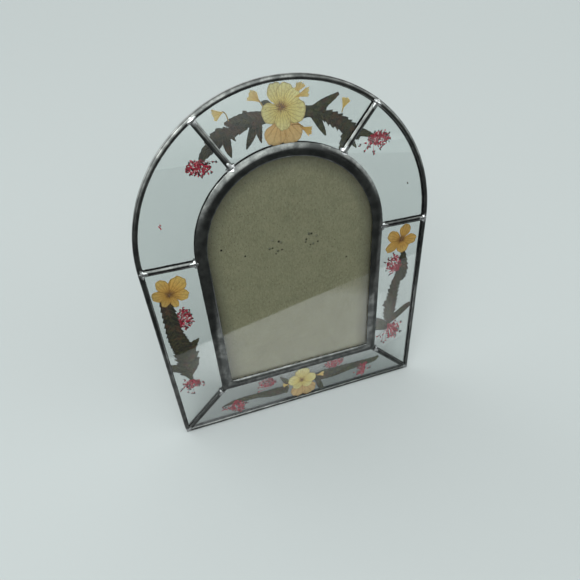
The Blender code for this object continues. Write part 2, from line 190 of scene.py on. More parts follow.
def pressed_petal(name, heart, body, rim, vein, veins):
    """A dried petal: papery and matt, browned towards the heart of the flower, with
    dark veins that fan out from its base, soft creases with painted shade in them and a darker edge."""
    material, node, shader, place = new_material(name)
    fan, along, edge, tone = (
        node("Attribute", output="Fac", attribute_name=key) for key in ("across", "along", "edge", "tone")
    )
    blotch, crumple = (
        node("TexNoise", {"Vector": place, "Scale": BLOB / size, "Detail": detail, "Roughness": 0.6})
        for size, detail in ((2.6, 4.0), (0.8, 3.0))
    )
    spread = node("Math", {0: fan, 1: veins}, operation="MULTIPLY")
    wave = node("Math", {0: blotch, 1: 3.0, 2: spread}, operation="MULTIPLY_ADD")
    wave = node("Math", {0: wave}, operation="SINE")
    # The crease ramp paints shade into the hollows of the crumple bump
    browned, dark_line, near, dark_edge, crease_shade = (
        node("ValToRGB", {"Fac": level}, stops=stops) for level, stops in (
            (blotch, [(0.52, 0.0), (0.74, 0.34)]), (wave, [(0.55, 0.0), (0.95, 1.0)]),
            (along, [(0.1, 0.85), (0.4, 0.42), (1.0, 0.16)]), (edge, [(0.88, 0.0), (0.99, 0.55)]),
            (crumple, [(0.36, 0.28), (0.5, 0.0)]),
        )
    )
    vein_share = node("Math", {0: dark_line, 1: near}, operation="MULTIPLY")
    shade = node("Mix", {SHARE: tone, UNDER: srgb("#a2997f"), OVER: srgb("#ffffff")}, MIXED, data_type="RGBA")
    colour = node("ValToRGB", {"Fac": along}, stops=[(0.04, heart), (0.3, body), (0.9, rim)])
    # The petal also goes darker towards its edge
    for share, over, blend in (
        (browned, srgb(heart), "MIX"), (vein_share, srgb(vein), "MIX"), (dark_edge, srgb(vein), "MIX"),
        (1.0, shade, "MULTIPLY"), (crease_shade, srgb(vein), "MIX"),
    ):
        inputs = {SHARE: share, UNDER: colour, OVER: over}
        colour = node("Mix", inputs, MIXED, data_type="RGBA", blend_type=blend)
    relief = node("Math", {0: wave, 1: 0.4, 2: crumple}, operation="MULTIPLY_ADD")
    feed(shader, {
        "Base Color": colour, "Roughness": 0.8, "Specular IOR Level": 0.2,
        "Normal": node("Bump", {"Strength": 0.5, "Distance": 0.00012, "Height": relief}),
    })
    return material


def pressed_heart():
    """The dried threads at the middle of a bloom: dark brown, slightly glossy."""
    material, node, shader, place = new_material("dried stamens")
    mottle = node("TexNoise", {"Vector": place, "Scale": BLOB / 1.2})
    feed(shader, {
        "Base Color": node("ValToRGB", {"Fac": mottle}, stops=[(0.35, "#5a3812"), (0.65, "#a0702a")]),
        "Roughness": 0.6,
    })
    return material


def pressed_leaf():
    """A dried toothed leaf: matt olive going brown, mottled and fibrous, near black
    where it is folded, with faint pale side veins and a dark margin."""
    material, node, shader, place = new_material("pressed dried leaf")
    across, along, tone = (
        node("Attribute", output="Fac", attribute_name=key) for key in ("across", "along", "tone")
    )
    mottle, patch = (
        node("TexNoise", {"Vector": place, "Scale": BLOB / size, "Detail": detail, "Roughness": rough})
        for size, detail, rough in ((2, 5.0, 0.72), (7, 3.0, 0.6))
    )
    width = node("Math", {0: across}, operation="ABSOLUTE")
    fresh, aged, rust, rusty, margin = (
        node("ValToRGB", {"Fac": level}, stops=stops) for level, stops in (
            (mottle, [(0.32, "#202805"), (0.5, "#424a1a"), (0.66, "#626830")]),
            (mottle, [(0.34, "#120e02"), (0.5, "#262007"), (0.66, "#463c14")]),
            (mottle, [(0.34, "#241107"), (0.6, "#56341c")]),
            (patch, [(0.5, 0.0), (0.6, 0.8)]), (width, [(0.8, 0.0), (0.97, 0.7)]),
        )
    )
    middle = node("Math", {0: 1.0, 1: width}, operation="SUBTRACT", use_clamp=True)
    midrib = node("Math", {0: middle, 1: 14.0}, operation="POWER")
    slant = node("Math", {0: along, 1: math.pi}, operation="MULTIPLY")
    slant = node("Math", {0: width, 1: -3.6, 2: slant}, operation="MULTIPLY_ADD")
    side = node("Math", {0: slant}, operation="SINE")
    side = node("Math", {0: side, 1: 8.0}, operation="POWER")
    lines = node("Math", {0: midrib, 1: side}, operation="MAXIMUM")
    faint = node("Math", {0: lines, 1: 0.12}, operation="MULTIPLY")
    colour = aged
    for share, over in (
        (tone, fresh), (rusty, rust), (faint, srgb("#77724c")), (margin, srgb("#17140b")),
    ):
        colour = node("Mix", {SHARE: share, UNDER: colour, OVER: over}, MIXED, data_type="RGBA")
    relief = node("Math", {0: lines, 1: mottle}, operation="ADD")
    feed(shader, {
        "Base Color": colour, "Roughness": 0.75, "Specular IOR Level": 0.2,
        "Normal": node("Bump", {"Strength": 0.6, "Distance": 0.00015, "Height": relief}),
    })
    return material


def pressed_umbel():
    """Heads of tiny tubular flowers: crimson, rosy at the thin base of each tube and
    nearly black at the open end."""
    material, node, shader, place = new_material("pressed crimson florets")
    tone = node("Attribute", output="Fac", attribute_name="tone")
    grain = node("TexNoise", {"Vector": place, "Scale": BLOB / 0.9, "Detail": 3.0, "Roughness": 0.6})
    shift = node("Math", {0: tone, 1: -0.2}, operation="ADD")
    level = node("Math", {0: grain, 1: 0.4, 2: shift}, operation="MULTIPLY_ADD", use_clamp=True)
    feed(shader, {
        "Base Color": node("ValToRGB", {"Fac": level}, stops=[
            (0.0, "#200208"), (0.18, "#78001c"), (0.4, "#b4002c"), (0.76, "#d80a3e"), (1.0, "#e24470"),
        ]),
        "Roughness": 0.8, "Specular IOR Level": 0.2,
        "Normal": node("Bump", {"Strength": 0.4, "Distance": 0.0001, "Height": grain}),
    })
    return material


def grey_chipboard():
    """Pressed grey board: warm olive-grey pulp, matt, with pale fibres and dark flecks,
    and painted shade that darkens it towards the edge of the opening, under the came."""
    material, node, shader, place = new_material("grey chipboard")
    laid = node("Mapping", {"Vector": place, "Scale": (1, 1, 0.45)})
    cloud, fibre, fleck = (
        node("TexNoise", {"Vector": way, "Scale": BLOB / size, "Detail": detail, "Roughness": rough})
        for way, size, detail, rough in (
            (place, 14, 4.0, 0.55), (laid, 1.1, 4.0, 0.7), (place, 0.8, 2.0, 0.5),
        )
    )
    pale = node("ValToRGB", {"Fac": fibre}, stops=[(0.42, 0.0), (0.68, 0.6)])
    dark = node("ValToRGB", {"Fac": fleck}, stops=[(0.3, 0.7), (0.36, 0.0)])
    reach = node("Mapping", {
        "Vector": place, "Location": SET_UP.translation, "Rotation": (math.pi / 2 - LEAN, 0, 0),
        "Scale": (0.001, 0.001, 0.001),
    }, vector_type="TEXTURE")
    for operation, value in (      # distance from the opening's middle line, round its arch
        ("SUBTRACT", (0, SPRING, 0)), ("MAXIMUM", (-100, 0, 0)), ("MULTIPLY", (1, 1, 0)),
    ):
        reach = node("VectorMath", {0: reach, 1: value}, operation=operation)
    reach = node("VectorMath", {0: reach}, "Value", operation="LENGTH")
    # Painted shade: the board darkens towards the came round the opening, as if the came shaded it
    painted_came_shade = node(
        "MapRange", {"Value": reach, "From Min": 46.0, "From Max": 62.0, "To Max": 0.75}, "Result",
        interpolation_type="SMOOTHSTEP",
    )
    colour = node("ValToRGB", {"Fac": cloud}, stops=[(0.3, "#8a8568"), (0.7, "#969174")])
    for share, over in ((pale, "#ada687"), (dark, "#4c4735"), (painted_came_shade, "#4a4634")):
        colour = node("Mix", {SHARE: share, UNDER: colour, OVER: srgb(over)}, MIXED, data_type="RGBA")
    feed(shader, {
        "Base Color": colour, "Roughness": 0.9, "Specular IOR Level": 0.15,
        "Normal": node("Bump", {"Strength": 0.5, "Distance": 0.00008, "Height": fibre}),
    })
    return material


def prick_shade():
    """Painted shade for the inside of a prick in the board: near black, faintly mottled."""
    material, node, shader, place = new_material("painted shade in pricks")
    pulp = node("TexNoise", {"Vector": place, "Scale": BLOB / 0.4, "Detail": 2.0})
    feed(shader, {
        "Base Color": node("ValToRGB", {"Fac": pulp}, stops=[(0.3, "#12100a"), (0.7, "#2e291c")]),
        "Roughness": 0.95, "Specular IOR Level": 0.1,
    })
    return material


def tinned_steel():
    """Stamped tinplate: a dull bright skin with fine rolling lines and grey handling
    marks."""
    material, node, shader, place = new_material("stamped tinplate")
    rolled = node("Mapping", {"Vector": place, "Scale": (0.15, 1, 1)})
    roll, touch = (
        node("TexNoise", {"Vector": way, "Scale": BLOB / size, "Detail": detail, "Roughness": 0.6})
        for way, size, detail in ((rolled, 0.8, 3.0), (place, 6, 4.0))
    )
    dulled = node("ValToRGB", {"Fac": touch}, stops=[(0.45, 0.0), (0.7, 0.6)])
    skin = node("ValToRGB", {"Fac": roll}, stops=[(0.3, "#9a9893"), (0.7, "#c2c0ba")])
    feed(shader, {
        "Base Color": node(
            "Mix", {SHARE: dulled, UNDER: skin, OVER: srgb("#77746c")}, MIXED, data_type="RGBA",
        ),
        "Metallic": 1.0,
        "Roughness": node("ValToRGB", {"Fac": roll}, stops=[(0.3, 0.42), (0.7, 0.26)]),
        "Normal": node("Bump", {"Strength": 0.3, "Distance": 0.00003, "Height": roll}),
    })
    return material


# ------------------------------------------------------------------ pieces

SHARP_EDGE = math.radians(40)
SEAM = 0.002                # points of a came closer than this are one point


def finish_piece(shape, name, material, stands_for=(), body="frame", place=None):
    """Leans a flat shape into place, makes it an object and ties it to its body."""
    shape.transform(place or SET_UP)
    mesh = bpy.data.meshes.new(name)
    shape.to_mesh(mesh)
    shape.free()
    mesh.shade_smooth()
    mesh.set_sharp_from_angle(angle=SHARP_EDGE)
    mesh.materials.append(material)
    piece = bpy.data.objects.new(name, mesh)
    bpy.context.scene.collection.objects.link(piece)
    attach(piece, body)
    if stands_for:
        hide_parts(*stands_for)


def ring_of(shape, points):
    """A closed ring of edges through the points."""
    verts = [bmesh.ops.create_vert(shape, co=point)["vert"][0] for point in points]
    return [shape.edges.new((verts[i - 1], verts[i])) for i in range(len(verts))]


def draw_out(shape, ring, target, steps):
    """Extrudes an edge ring in steps; target gives where each of its points ends."""
    for step in range(steps, 0, -1):
        grown = bmesh.ops.extrude_edge_only(shape, edges=ring)["geom"]
        fresh = {item for item in grown if isinstance(item, bmesh.types.BMVert)}
        for vert in fresh:
            vert.co += (Vector(target(vert.co)) - vert.co) / step
        ring = [
            item for item in grown
            if isinstance(item, bmesh.types.BMEdge) and all(vert in fresh for vert in item.verts)
        ]
    return ring


def turn_out(shape, ring, centre, degrees, steps):
    """Spins an edge ring round an upright axis."""
    spun = bmesh.ops.spin(
        shape, geom=ring, cent=(*centre, 0), axis=(0, 0, 1), angle=math.radians(degrees), steps=steps,
    )["geom_last"]
    return [item for item in spun if isinstance(item, bmesh.types.BMEdge)]


DENT_SPACING = 9.0
DENT_SEED = 1               # without one, noise_vector starts from the clock


def hand_work(shape, amount):
    """Small dents and waves, as came has after it is bent by hand."""
    noise.seed_set(DENT_SEED)
    for vert in shape.verts:
        vert.co += amount * noise.noise_vector(vert.co / DENT_SPACING)


# Came sections: distance in from the outer edge, and height off the middle of the glass.
RIM_HALF_SECTION = [
    (1.0, 0.0), (1.0, 1.9), (3.1, 1.9), (3.3, 2.0), (3.2, 2.2), (2.8, 2.38), (2.3, 2.47), (1.7, 2.5),
    (1.2, 2.42), (0.75, 2.22), (0.38, 1.9), (0.13, 1.4), (0.02, 0.8),
]
BAR_HALF_SECTION = [
    (0.4, 0.0), (0.4, 1.72), (1.8, 1.72), (1.92, 1.8), (1.84, 1.96), (1.6, 2.12), (1.25, 2.28), (0.85, 2.41),
    (0.42, 2.48), (0.0, 2.5),
]
OPENING_SECTION = [
    (3.4, -1.9), (3.4, 1.9), (0.2, 1.9), (0.0, 1.96), (0.04, 2.08), (0.3, 2.24), (0.8, 2.42), (1.4, 2.6),
    (2.0, 2.75), (2.6, 2.86), (3.3, 2.94), (4.0, 2.96), (4.7, 2.9), (5.4, 2.8), (6.0, 2.68),
    (6.5, 2.56), (6.8, 2.5),
    (7.1, 2.46), (7.4, 2.4), (7.7, 2.3), (7.92, 2.16), (8.0, 2.06), (7.98, 2.0), (7.85, 1.92),
    (4.1, 1.9), (4.1, -2.3), (3.9, -2.48), (2.2, -2.5), (0.6, -2.42), (0.0, -2.1), (0.2, -1.9),
]


def mirrored(half):
    """A half section and its mirror image, as one closed loop."""
    return half + [(across, -height) for across, height in reversed(half) if height > 0]


def rim_came(settings):
    """The U-shaped came drawn once round the outline of the frame."""
    shape = bmesh.new()
    section = mirrored(RIM_HALF_SECTION)
    ring = ring_of(shape, [(across - RIM, RIM_CORNER, height) for across, height in section])
    ring = draw_out(shape, ring, lambda co: (co.x, SPRING, co.z), 36)
    ring = turn_out(shape, ring, (0, SPRING), -180, 96)
    ring = draw_out(shape, ring, lambda co: (co.x, RIM_CORNER, co.z), 36)
    ring = turn_out(shape, ring, (RIM - RIM_CORNER, RIM_CORNER), -90, 8)
    ring = draw_out(shape, ring, lambda co: (RIM_CORNER - RIM, co.y, co.z), 48)
    turn_out(shape, ring, (RIM_CORNER - RIM, RIM_CORNER), -90, 8)
    bmesh.ops.remove_doubles(shape, verts=shape.verts, dist=SEAM)
    bmesh.ops.recalc_face_normals(shape, faces=shape.faces)
    hand_work(shape, settings.hand_work)
    return shape


# The rolled bead along the bottom run: place from the edge, breadth and height, then the
# hollow beside it
BEAD = ((6.95, 0.6, 0.5), (5.7, 0.5, -0.25))


def opening_came(settings):
    """The wide came round the opening, mitred at its two lower corners."""
    shape = bmesh.new()
    points = [(across - OPENING, OPENING_BOTTOM + across, height) for across, height in OPENING_SECTION]
    ring = ring_of(shape, points)
    ring = draw_out(shape, ring, lambda co: (co.x, SPRING, co.z), 30)
    ring = turn_out(shape, ring, (0, SPRING), -180, 84)
    ring = draw_out(shape, ring, lambda co: (co.x, OPENING_BOTTOM + OPENING - co.x, co.z), 30)
    draw_out(shape, ring, lambda co: (co.y - OPENING_BOTTOM - OPENING, co.y, co.z), 34)
    bmesh.ops.remove_doubles(shape, verts=shape.verts, dist=SEAM)
    bmesh.ops.recalc_face_normals(shape, faces=shape.faces)
    for vert in shape.verts:
        x, depth, height = abs(vert.co.x), vert.co.y - OPENING_BOTTOM, vert.co.z
        if height > 2.1 and depth < OPENING_WIDTH + 0.01 and x < OPENING - depth + 0.01:
            from_corner = min(max((OPENING - OPENING_WIDTH - 1 - x) / 4, 0), 1)
            bead = sum(rise * math.exp(-((depth - at) / breadth) ** 2) for at, breadth, rise in BEAD)
            vert.co.z += from_corner * bead
    hand_work(shape, settings.hand_work)
    return shape


BUTT_GAP = 0.15             # between the end of a bar and the came it meets
LONGEST_BAR = 60.0


def between_cames(point, inset_rim, inset_opening):
    """Whether a point on the face lies between the two cames."""
    x, y = abs(point.x), point.y
    if y > SPRING:
        reach = math.hypot(x, y - SPRING)
        return OPENING + inset_opening < reach < RIM - inset_rim
    in_rim = x < RIM - inset_rim and y > inset_rim
    in_opening = x < OPENING + inset_opening and y > OPENING_BOTTOM - inset_opening
    return in_rim and not in_opening


def reach_edge(start, along):
    """How far a line on the face runs before it meets a came."""
    low, high = 0.0, LONGEST_BAR
    for _ in range(40):
        middle = (low + high) / 2
        if between_cames(start + along * middle, RIM_WIDTH + BUTT_GAP, BUTT_GAP):
            low = middle
        else:
            high = middle
    return low


def bar_came(inner, outer, settings):
    """A came bar of H section from the opening to the rim, cut to butt against both."""
    shape = bmesh.new()
    start, finish = Vector(inner), Vector(outer)
    along = (finish - start).normalized()
    across = Vector((along.y, -along.x))
    middle = start + along * (finish - start).length * 0.5
    section = mirrored(BAR_HALF_SECTION)
    section += [(-width, height) for width, height in reversed(section) if width > 0]
    section = [point for index, point in enumerate(section) if section.index(point) == index]
    ring = ring_of(shape, [(*(middle + across * width), height) for width, height in section])

    def end_for(direction):
        """What gives each point of the section its place at the end in that direction."""
        def end(co):
            side = (Vector((co.x, co.y)) - middle).dot(across)
            foot = middle + across * side
            return (*(foot + direction * reach_edge(foot, direction)), co.z)
        return end

    first = draw_out(shape, ring, end_for(along), 10)
    second = draw_out(shape, ring, end_for(-along), 10)
    for cap in (first, second):
        bmesh.ops.contextual_create(shape, geom=cap)
    bmesh.ops.recalc_face_normals(shape, faces=shape.faces)
    hand_work(shape, settings.hand_work)
    return shape


# How far the foot of the rim stands out where the face meets the table
FOOT_LIMIT = 2.16
# How far solder keeps in from the outline, its thickness, and the crowns it lies on
RIM_MARGIN = 0.7
SOLDER_THICKNESS = 0.17
BAR_CROWN = 2.5
RIM_CROWN = 2.5
OPENING_CROWN = 3.0
BAR_HALF_WIDTH = 1.9


def crown(distance, half, top):
    """Height of a rounded came at a distance from its middle line."""
    share = min(abs(distance) / half, 1.0)
    return FACE + 0.05 + (top - FACE) * max(1 - share ** 4, 0) ** 0.5


def solder_surface(point, start, along):
    """Height of the metal under a joint between a bar and a came."""
    x, y = abs(point.x), point.y
    away = math.hypot(x, y - SPRING) if y > SPRING else max(x, 0)
    rim_depth = RIM - away if y > SPRING else min(RIM - x, y)
    opening_depth = away - OPENING if y > SPRING else max(x - OPENING, OPENING_BOTTOM - y)
    heights = [
        crown(rim_depth - RIM_WIDTH / 2, RIM_WIDTH / 2, RIM_CROWN),
        crown(-opening_depth - OPENING_WIDTH / 2, OPENING_WIDTH / 2, OPENING_CROWN),
    ]
    offset = point - start
    across = offset.x * along.y - offset.y * along.x
    if offset.dot(along) > -0.5:
        heights.append(crown(across, BAR_HALF_WIDTH, BAR_CROWN))
    return sum(height ** 12 for height in heights) ** (1 / 12)


def within_rim(point):
    """The nearest place on the face that lies inside the outline of the frame."""
    if point.y > SPRING:
        offset = point - Vector((0, SPRING))
        return Vector((0, SPRING)) + offset.normalized() * min(offset.length, RIM - RIM_MARGIN)
    widest = RIM - RIM_MARGIN
    return Vector((min(max(point.x, -widest), widest), max(point.y, RIM_MARGIN)))


def solder_joint(shape, start, along, reach, width, face, seed):
    """A puddle of solder over a joint: it runs out along the came both ways and up the
    bar, with hollow fillets between."""
    chance = random.Random(seed)
    made = bmesh.ops.create_uvsphere(shape, u_segments=40, v_segments=20, radius=1.0)["verts"]
    across = Vector((-along.y, along.x))
    lobes = [
        (along, reach * 0.8), (across, width * 0.8), (-across, width * chance.uniform(0.6, 0.9)),
        (-along, reach * 0.3),
    ]
    for vert in made:
        flat = Vector((vert.co.x, vert.co.y))
        share = flat.length
        direction = flat.normalized() if share > 1e-6 else Vector((1, 0))
        radius = sum(size * max(direction.dot(way), 0) ** 6 for way, size in lobes) + 1.25
        radius *= 1 + 0.08 * noise.noise(Vector((*direction * 1.2, seed)))
        point = within_rim(start + direction * radius * share)
        base = solder_surface(point, start, along)
        dome = max(1 - share * share, 0) ** 0.8
        swell = 0.05 * noise.noise(Vector((point.x, point.y, seed)) * 0.5)
        if vert.co.z >= 0:
            height = base + (SOLDER_THICKNESS + swell) * dome
        else:
            height = max(base - 0.5 * dome, FACE + 0.02)
        height = min(height, FOOT_LIMIT + point.y * math.tan(LEAN))
        vert.co = (point.x, point.y, face * height)
    if face < 0:
        faces = list(dict.fromkeys(item for vert in made for item in vert.link_faces))
        bmesh.ops.reverse_faces(shape, faces=faces)


def solder_work():
    """Solder at both ends of each bar, and at the corners of the opening, on both faces."""
    shape = bmesh.new()
    seed = 3
    for inner, outer in BARS.values():
        start, finish = Vector(inner), Vector(outer)
        along = (finish - start).normalized()
        length = (finish - start).length
        mitre = abs(along.x) > 0.3 and abs(along.y) > 0.3 and start.y < SPRING
        near, far = (1.2, 3.4) if mitre else (0.6, 2.6)
        for face in (1, -1):
            solder_joint(shape, start + along * near, along, 3.4, 2.6, face, seed)
            solder_joint(shape, start + along * (length - far), -along, 3.2, 2.6, face, seed + 1)
            seed += 2
    return shape


# ------------------------------------------------------------------ pressed flowers

TOOTH_RISE = 0.8            # share of a tooth that climbs to its point
PETAL_NOTCH = 0.08
PETAL_CLAW = 0.4            # width of a petal's base, as a share of its full width
PETAL_THICKNESS = 0.06


def smooth_through(points, share):
    """A place on a smooth line through the points, from 0 at the first to 1 at the last."""
    last = len(points) - 1
    step = min(int(share * last), last - 1)
    part = share * last - step
    before, here, ahead, after = (
        Vector(points[min(max(step + offset, 0), last)]) for offset in (-1, 0, 1, 2)
    )
    return 0.5 * (
        2 * here + (ahead - before) * part
        + (2 * before - 5 * here + 4 * ahead - after) * part ** 2
        + (3 * here - before - 3 * ahead + after) * part ** 3
    )


def towards(turn):
    """The direction on the face at an angle from X."""
    return Vector((math.cos(turn), math.sin(turn)))


def layers_of(shape):
    """The four numbers each point carries for its material, in this order."""
    return [
        shape.verts.layers.float.get(name) or shape.verts.layers.float.new(name)
        for name in ("across", "along", "edge", "tone")
    ]


def thicken(shape, verts, thickness):
    """Gives a flat sheet a back and closed edges."""
    faces = list(dict.fromkeys(face for vert in verts if vert.is_valid for face in vert.link_faces))
    grown = bmesh.ops.extrude_face_region(shape, geom=faces, use_keep_orig=True)["geom"]
    fresh = [item for item in grown if isinstance(item, bmesh.types.BMVert)]
    bmesh.ops.translate(shape, verts=fresh, vec=(0, 0, -thickness))
    walls = [face for vert in fresh for face in vert.link_faces]
    bmesh.ops.recalc_face_normals(shape, faces=list(dict.fromkeys(walls + faces)))


def add_blade(
    shape, spine, layer=0.0, teeth=0.0, pitch=3.6, tone=0.5, thickness=0.08, columns=6, seed=0,
):
    """A leaf or a stem laid along a spine of (x, y, half width) points. Its teeth point
    towards the end of the spine."""
    layers_of(shape)
    length = sum((Vector(a[:2]) - Vector(b[:2])).length for a, b in zip(spine, spine[1:]))
    rows = max(5, round(length / 0.4))
    made = bmesh.ops.create_grid(shape, x_segments=columns, y_segments=rows, size=1.0)["verts"]
    across, along, _, shade = layers_of(shape)
    for vert in made:
        side_share, share = vert.co.x, (vert.co.y + 1) / 2
        here = smooth_through(spine, share)
        ahead = smooth_through(spine, min(share + 0.01, 1)) - smooth_through(spine, max(share - 0.01, 0))
        side = Vector((-ahead.y, ahead.x)).normalized()
        place = share * length / pitch
        wobble = noise.noise(Vector((place * 0.7, seed * 3.1, 7.0 if side_share > 0 else 1.0)))
        phase = (place + (0.45 if side_share > 0 else 0) + 0.3 * wobble) % 1.0
        tooth = min(phase / TOOTH_RISE, (1 - phase) / (1 - TOOTH_RISE)) * teeth * (1 + 0.5 * wobble)
        fade = min(share * 5, (1 - share) * 5, 1)
        half = max(here.z, 0.05) + (tooth - teeth * 0.4) * abs(side_share) ** 3 * fade
        point = Vector((here.x, here.y)) + side * side_share * half
        point += ahead.xy.normalized() * tooth * 0.5 * abs(side_share) ** 4 * fade
        curl = 0.05 * noise.noise(Vector((point.x * 0.5, point.y * 0.5, seed)))
        vert.co = (point.x, point.y, layer + curl)
        vert[across] = side_share
        vert[along] = place
        vert[shade] = tone
    bmesh.ops.remove_doubles(shape, verts=made, dist=0.03)
    thicken(shape, made, thickness)


def add_petal(shape, base, tip, half, layer=0.0, tone=0.5, seed=0):
    """A round petal from its base to its tip, narrow at the base, ragged and notched at
    the tip."""
    layers_of(shape)
    made = bmesh.ops.create_grid(shape, x_segments=22, y_segments=22, size=1.0)["verts"]
    across, along, edge, shade = layers_of(shape)
    start, end = Vector(base), Vector(tip)
    lengthwise = (end - start) / 2
    side = Vector((-lengthwise.y, lengthwise.x)).normalized()
    for vert in made:
        u = vert.co.x * math.sqrt(1 - vert.co.y ** 2 / 2)
        v = vert.co.y * math.sqrt(1 - vert.co.x ** 2 / 2)
        reach = math.hypot(u, v)
        turn = math.atan2(u, v)
        ragged = 1 + reach ** 3 * (
            0.09 * noise.noise(Vector((math.cos(turn) * 2.2, math.sin(turn) * 2.2, seed)))
            + 0.05 * noise.noise(Vector((math.cos(turn) * 7, math.sin(turn) * 7, seed + 9)))
        )
        open_up = min(max((v + 1) / 1.25, 0), 1)
        width = PETAL_CLAW + (1 - PETAL_CLAW) * open_up * open_up * (3 - 2 * open_up)
        dip = PETAL_NOTCH * math.exp(-((u / 0.2) ** 2)) * max(v, 0) ** 2
        point = start + lengthwise * (1 + (v - dip) * ragged) + side * u * width * ragged * half
        ruffle = 0.05 * reach * noise.noise(Vector((point.x * 0.45, point.y * 0.45, seed + 4)))
        vert.co = (point.x, point.y, layer + ruffle)
        vert[across] = math.atan2(u * width * half, (v + 1.15) * lengthwise.length)
        vert[along] = (v + 1) / 2
        vert[edge] = reach
        vert[shade] = tone
    thicken(shape, made, PETAL_THICKNESS)


def add_fan(shape, apex, first, second, layer=0.0, tone=0.5, seed=0):
    """A wedge-shaped petal that opens from a point to a fringed end between two places."""
    layers_of(shape)
    made = bmesh.ops.create_grid(shape, x_segments=18, y_segments=12, size=1.0)["verts"]
    across, along, edge, shade = layers_of(shape)
    root = Vector(apex)
    for vert in made:
        side, share = vert.co.x, (vert.co.y + 1) / 2
        fringe = 0.1 * abs(math.sin(side * 7.3 + seed)) + 0.16 * noise.noise(Vector((side * 2.4, seed, 3)))
        bulge = 1 + 0.14 * (1 - side * side)
        reach = (0.04 + 0.96 * share) * (bulge - fringe * share ** 4)
        waist = share ** 0.35
        end = Vector(first).lerp(Vector(second), 0.5 + 0.5 * side * waist)
        point = root + (end - root) * reach
        ruffle = 0.06 * share * noise.noise(Vector((point.x * 0.6, point.y * 0.6, seed)))
        vert.co = (point.x, point.y, layer + ruffle)
        vert[across] = side * 0.5
        vert[along] = 0.12 + 0.88 * share
        vert[edge] = max(abs(side) ** 3, share ** 6) * 0.96
        vert[shade] = tone
    thicken(shape, made, PETAL_THICKNESS)


def add_heart(shape, place, reach, count, tone, seed):
    """Fine dark threads that run out from the middle of a bloom."""
    chance = random.Random(seed)
    for index in range(count):
        turn = math.tau * (index + chance.uniform(-0.3, 0.3)) / count
        way = towards(turn)
        side = Vector((-way.y, way.x)) * chance.uniform(-0.4, 0.4)
        start, end = Vector(place) + way * 0.2, Vector(place) + way * reach * chance.uniform(0.5, 1.0)
        spine = [(*start, 0.2), (*((start + end) / 2 + side), 0.15), (*end, 0.05)]
        add_blade(shape, spine, 0.26, tone=tone, thickness=0.06, columns=2, seed=index)


def add_floret(shape, place, way, length, width, layer, tone):
    """A tiny flattened tube that opens at its far end."""
    turn = Matrix.Rotation(math.atan2(way.y, way.x), 4, "Z")
    flatten = Matrix.Diagonal((1, 1, 0.16 / width, 1))
    lie = Matrix.Rotation(math.pi / 2, 4, "Y")
    made = bmesh.ops.create_cone(
        shape, cap_ends=True, segments=7, radius1=width * 0.45, radius2=width, depth=length,
        matrix=Matrix.Translation((place.x, place.y, layer)) @ turn @ flatten @ lie,
    )["verts"]
    shade = layers_of(shape)[3]
    for vert in made:
        far = (vert.co.xy - place).dot(way) > 0
        vert[shade] = tone - 0.2 if far else tone + 0.16


def add_umbel(shape, root, middle, spread, count, strays, seed):
    """Many tiny flowers on hair-thin stalks that fan out from a root."""
    layers_of(shape)
    chance = random.Random(seed)
    centre, start = Vector(middle), Vector(root)
    places = []
    for _ in range(round(count * 1.5)):
        turn = chance.uniform(0, math.tau)
        reach = chance.random() ** 0.5
        offset = Vector((math.cos(turn) * spread[0], math.sin(turn) * spread[1]))
        places.append((centre + offset * reach, reach))
    places += [(Vector(stray), 1.2) for stray in strays for _ in range(3)]
    for index, (place, reach) in enumerate(places):
        tip = place + Vector((chance.gauss(0, 0.4), chance.gauss(0, 0.4)))
        way = tip - start
        bent = Matrix.Rotation(chance.gauss(0, 0.7), 2) @ way.normalized()
        layer = chance.uniform(-0.2, 0.22)
        tone = chance.choice((0.1, 0.32, 0.45, 0.55, 0.65, 0.8)) - (0.3 if reach > 1 else 0.1 * reach)
        add_floret(shape, tip, bent, chance.uniform(0.9, 1.5), chance.uniform(0.36, 0.58), layer, tone)
        if index % 6 == 0 and way.length > 1.5:
            bow = Vector((-way.y, way.x)).normalized() * chance.uniform(-0.5, 0.5)
            middle_way = start + way * 0.5 + bow
            spine = [(*(start + way * 0.12), 0.1), (*middle_way, 0.08), (*tip, 0.12)]
            add_blade(shape, spine, layer - 0.03, tone=tone, thickness=0.05, columns=1, seed=index)


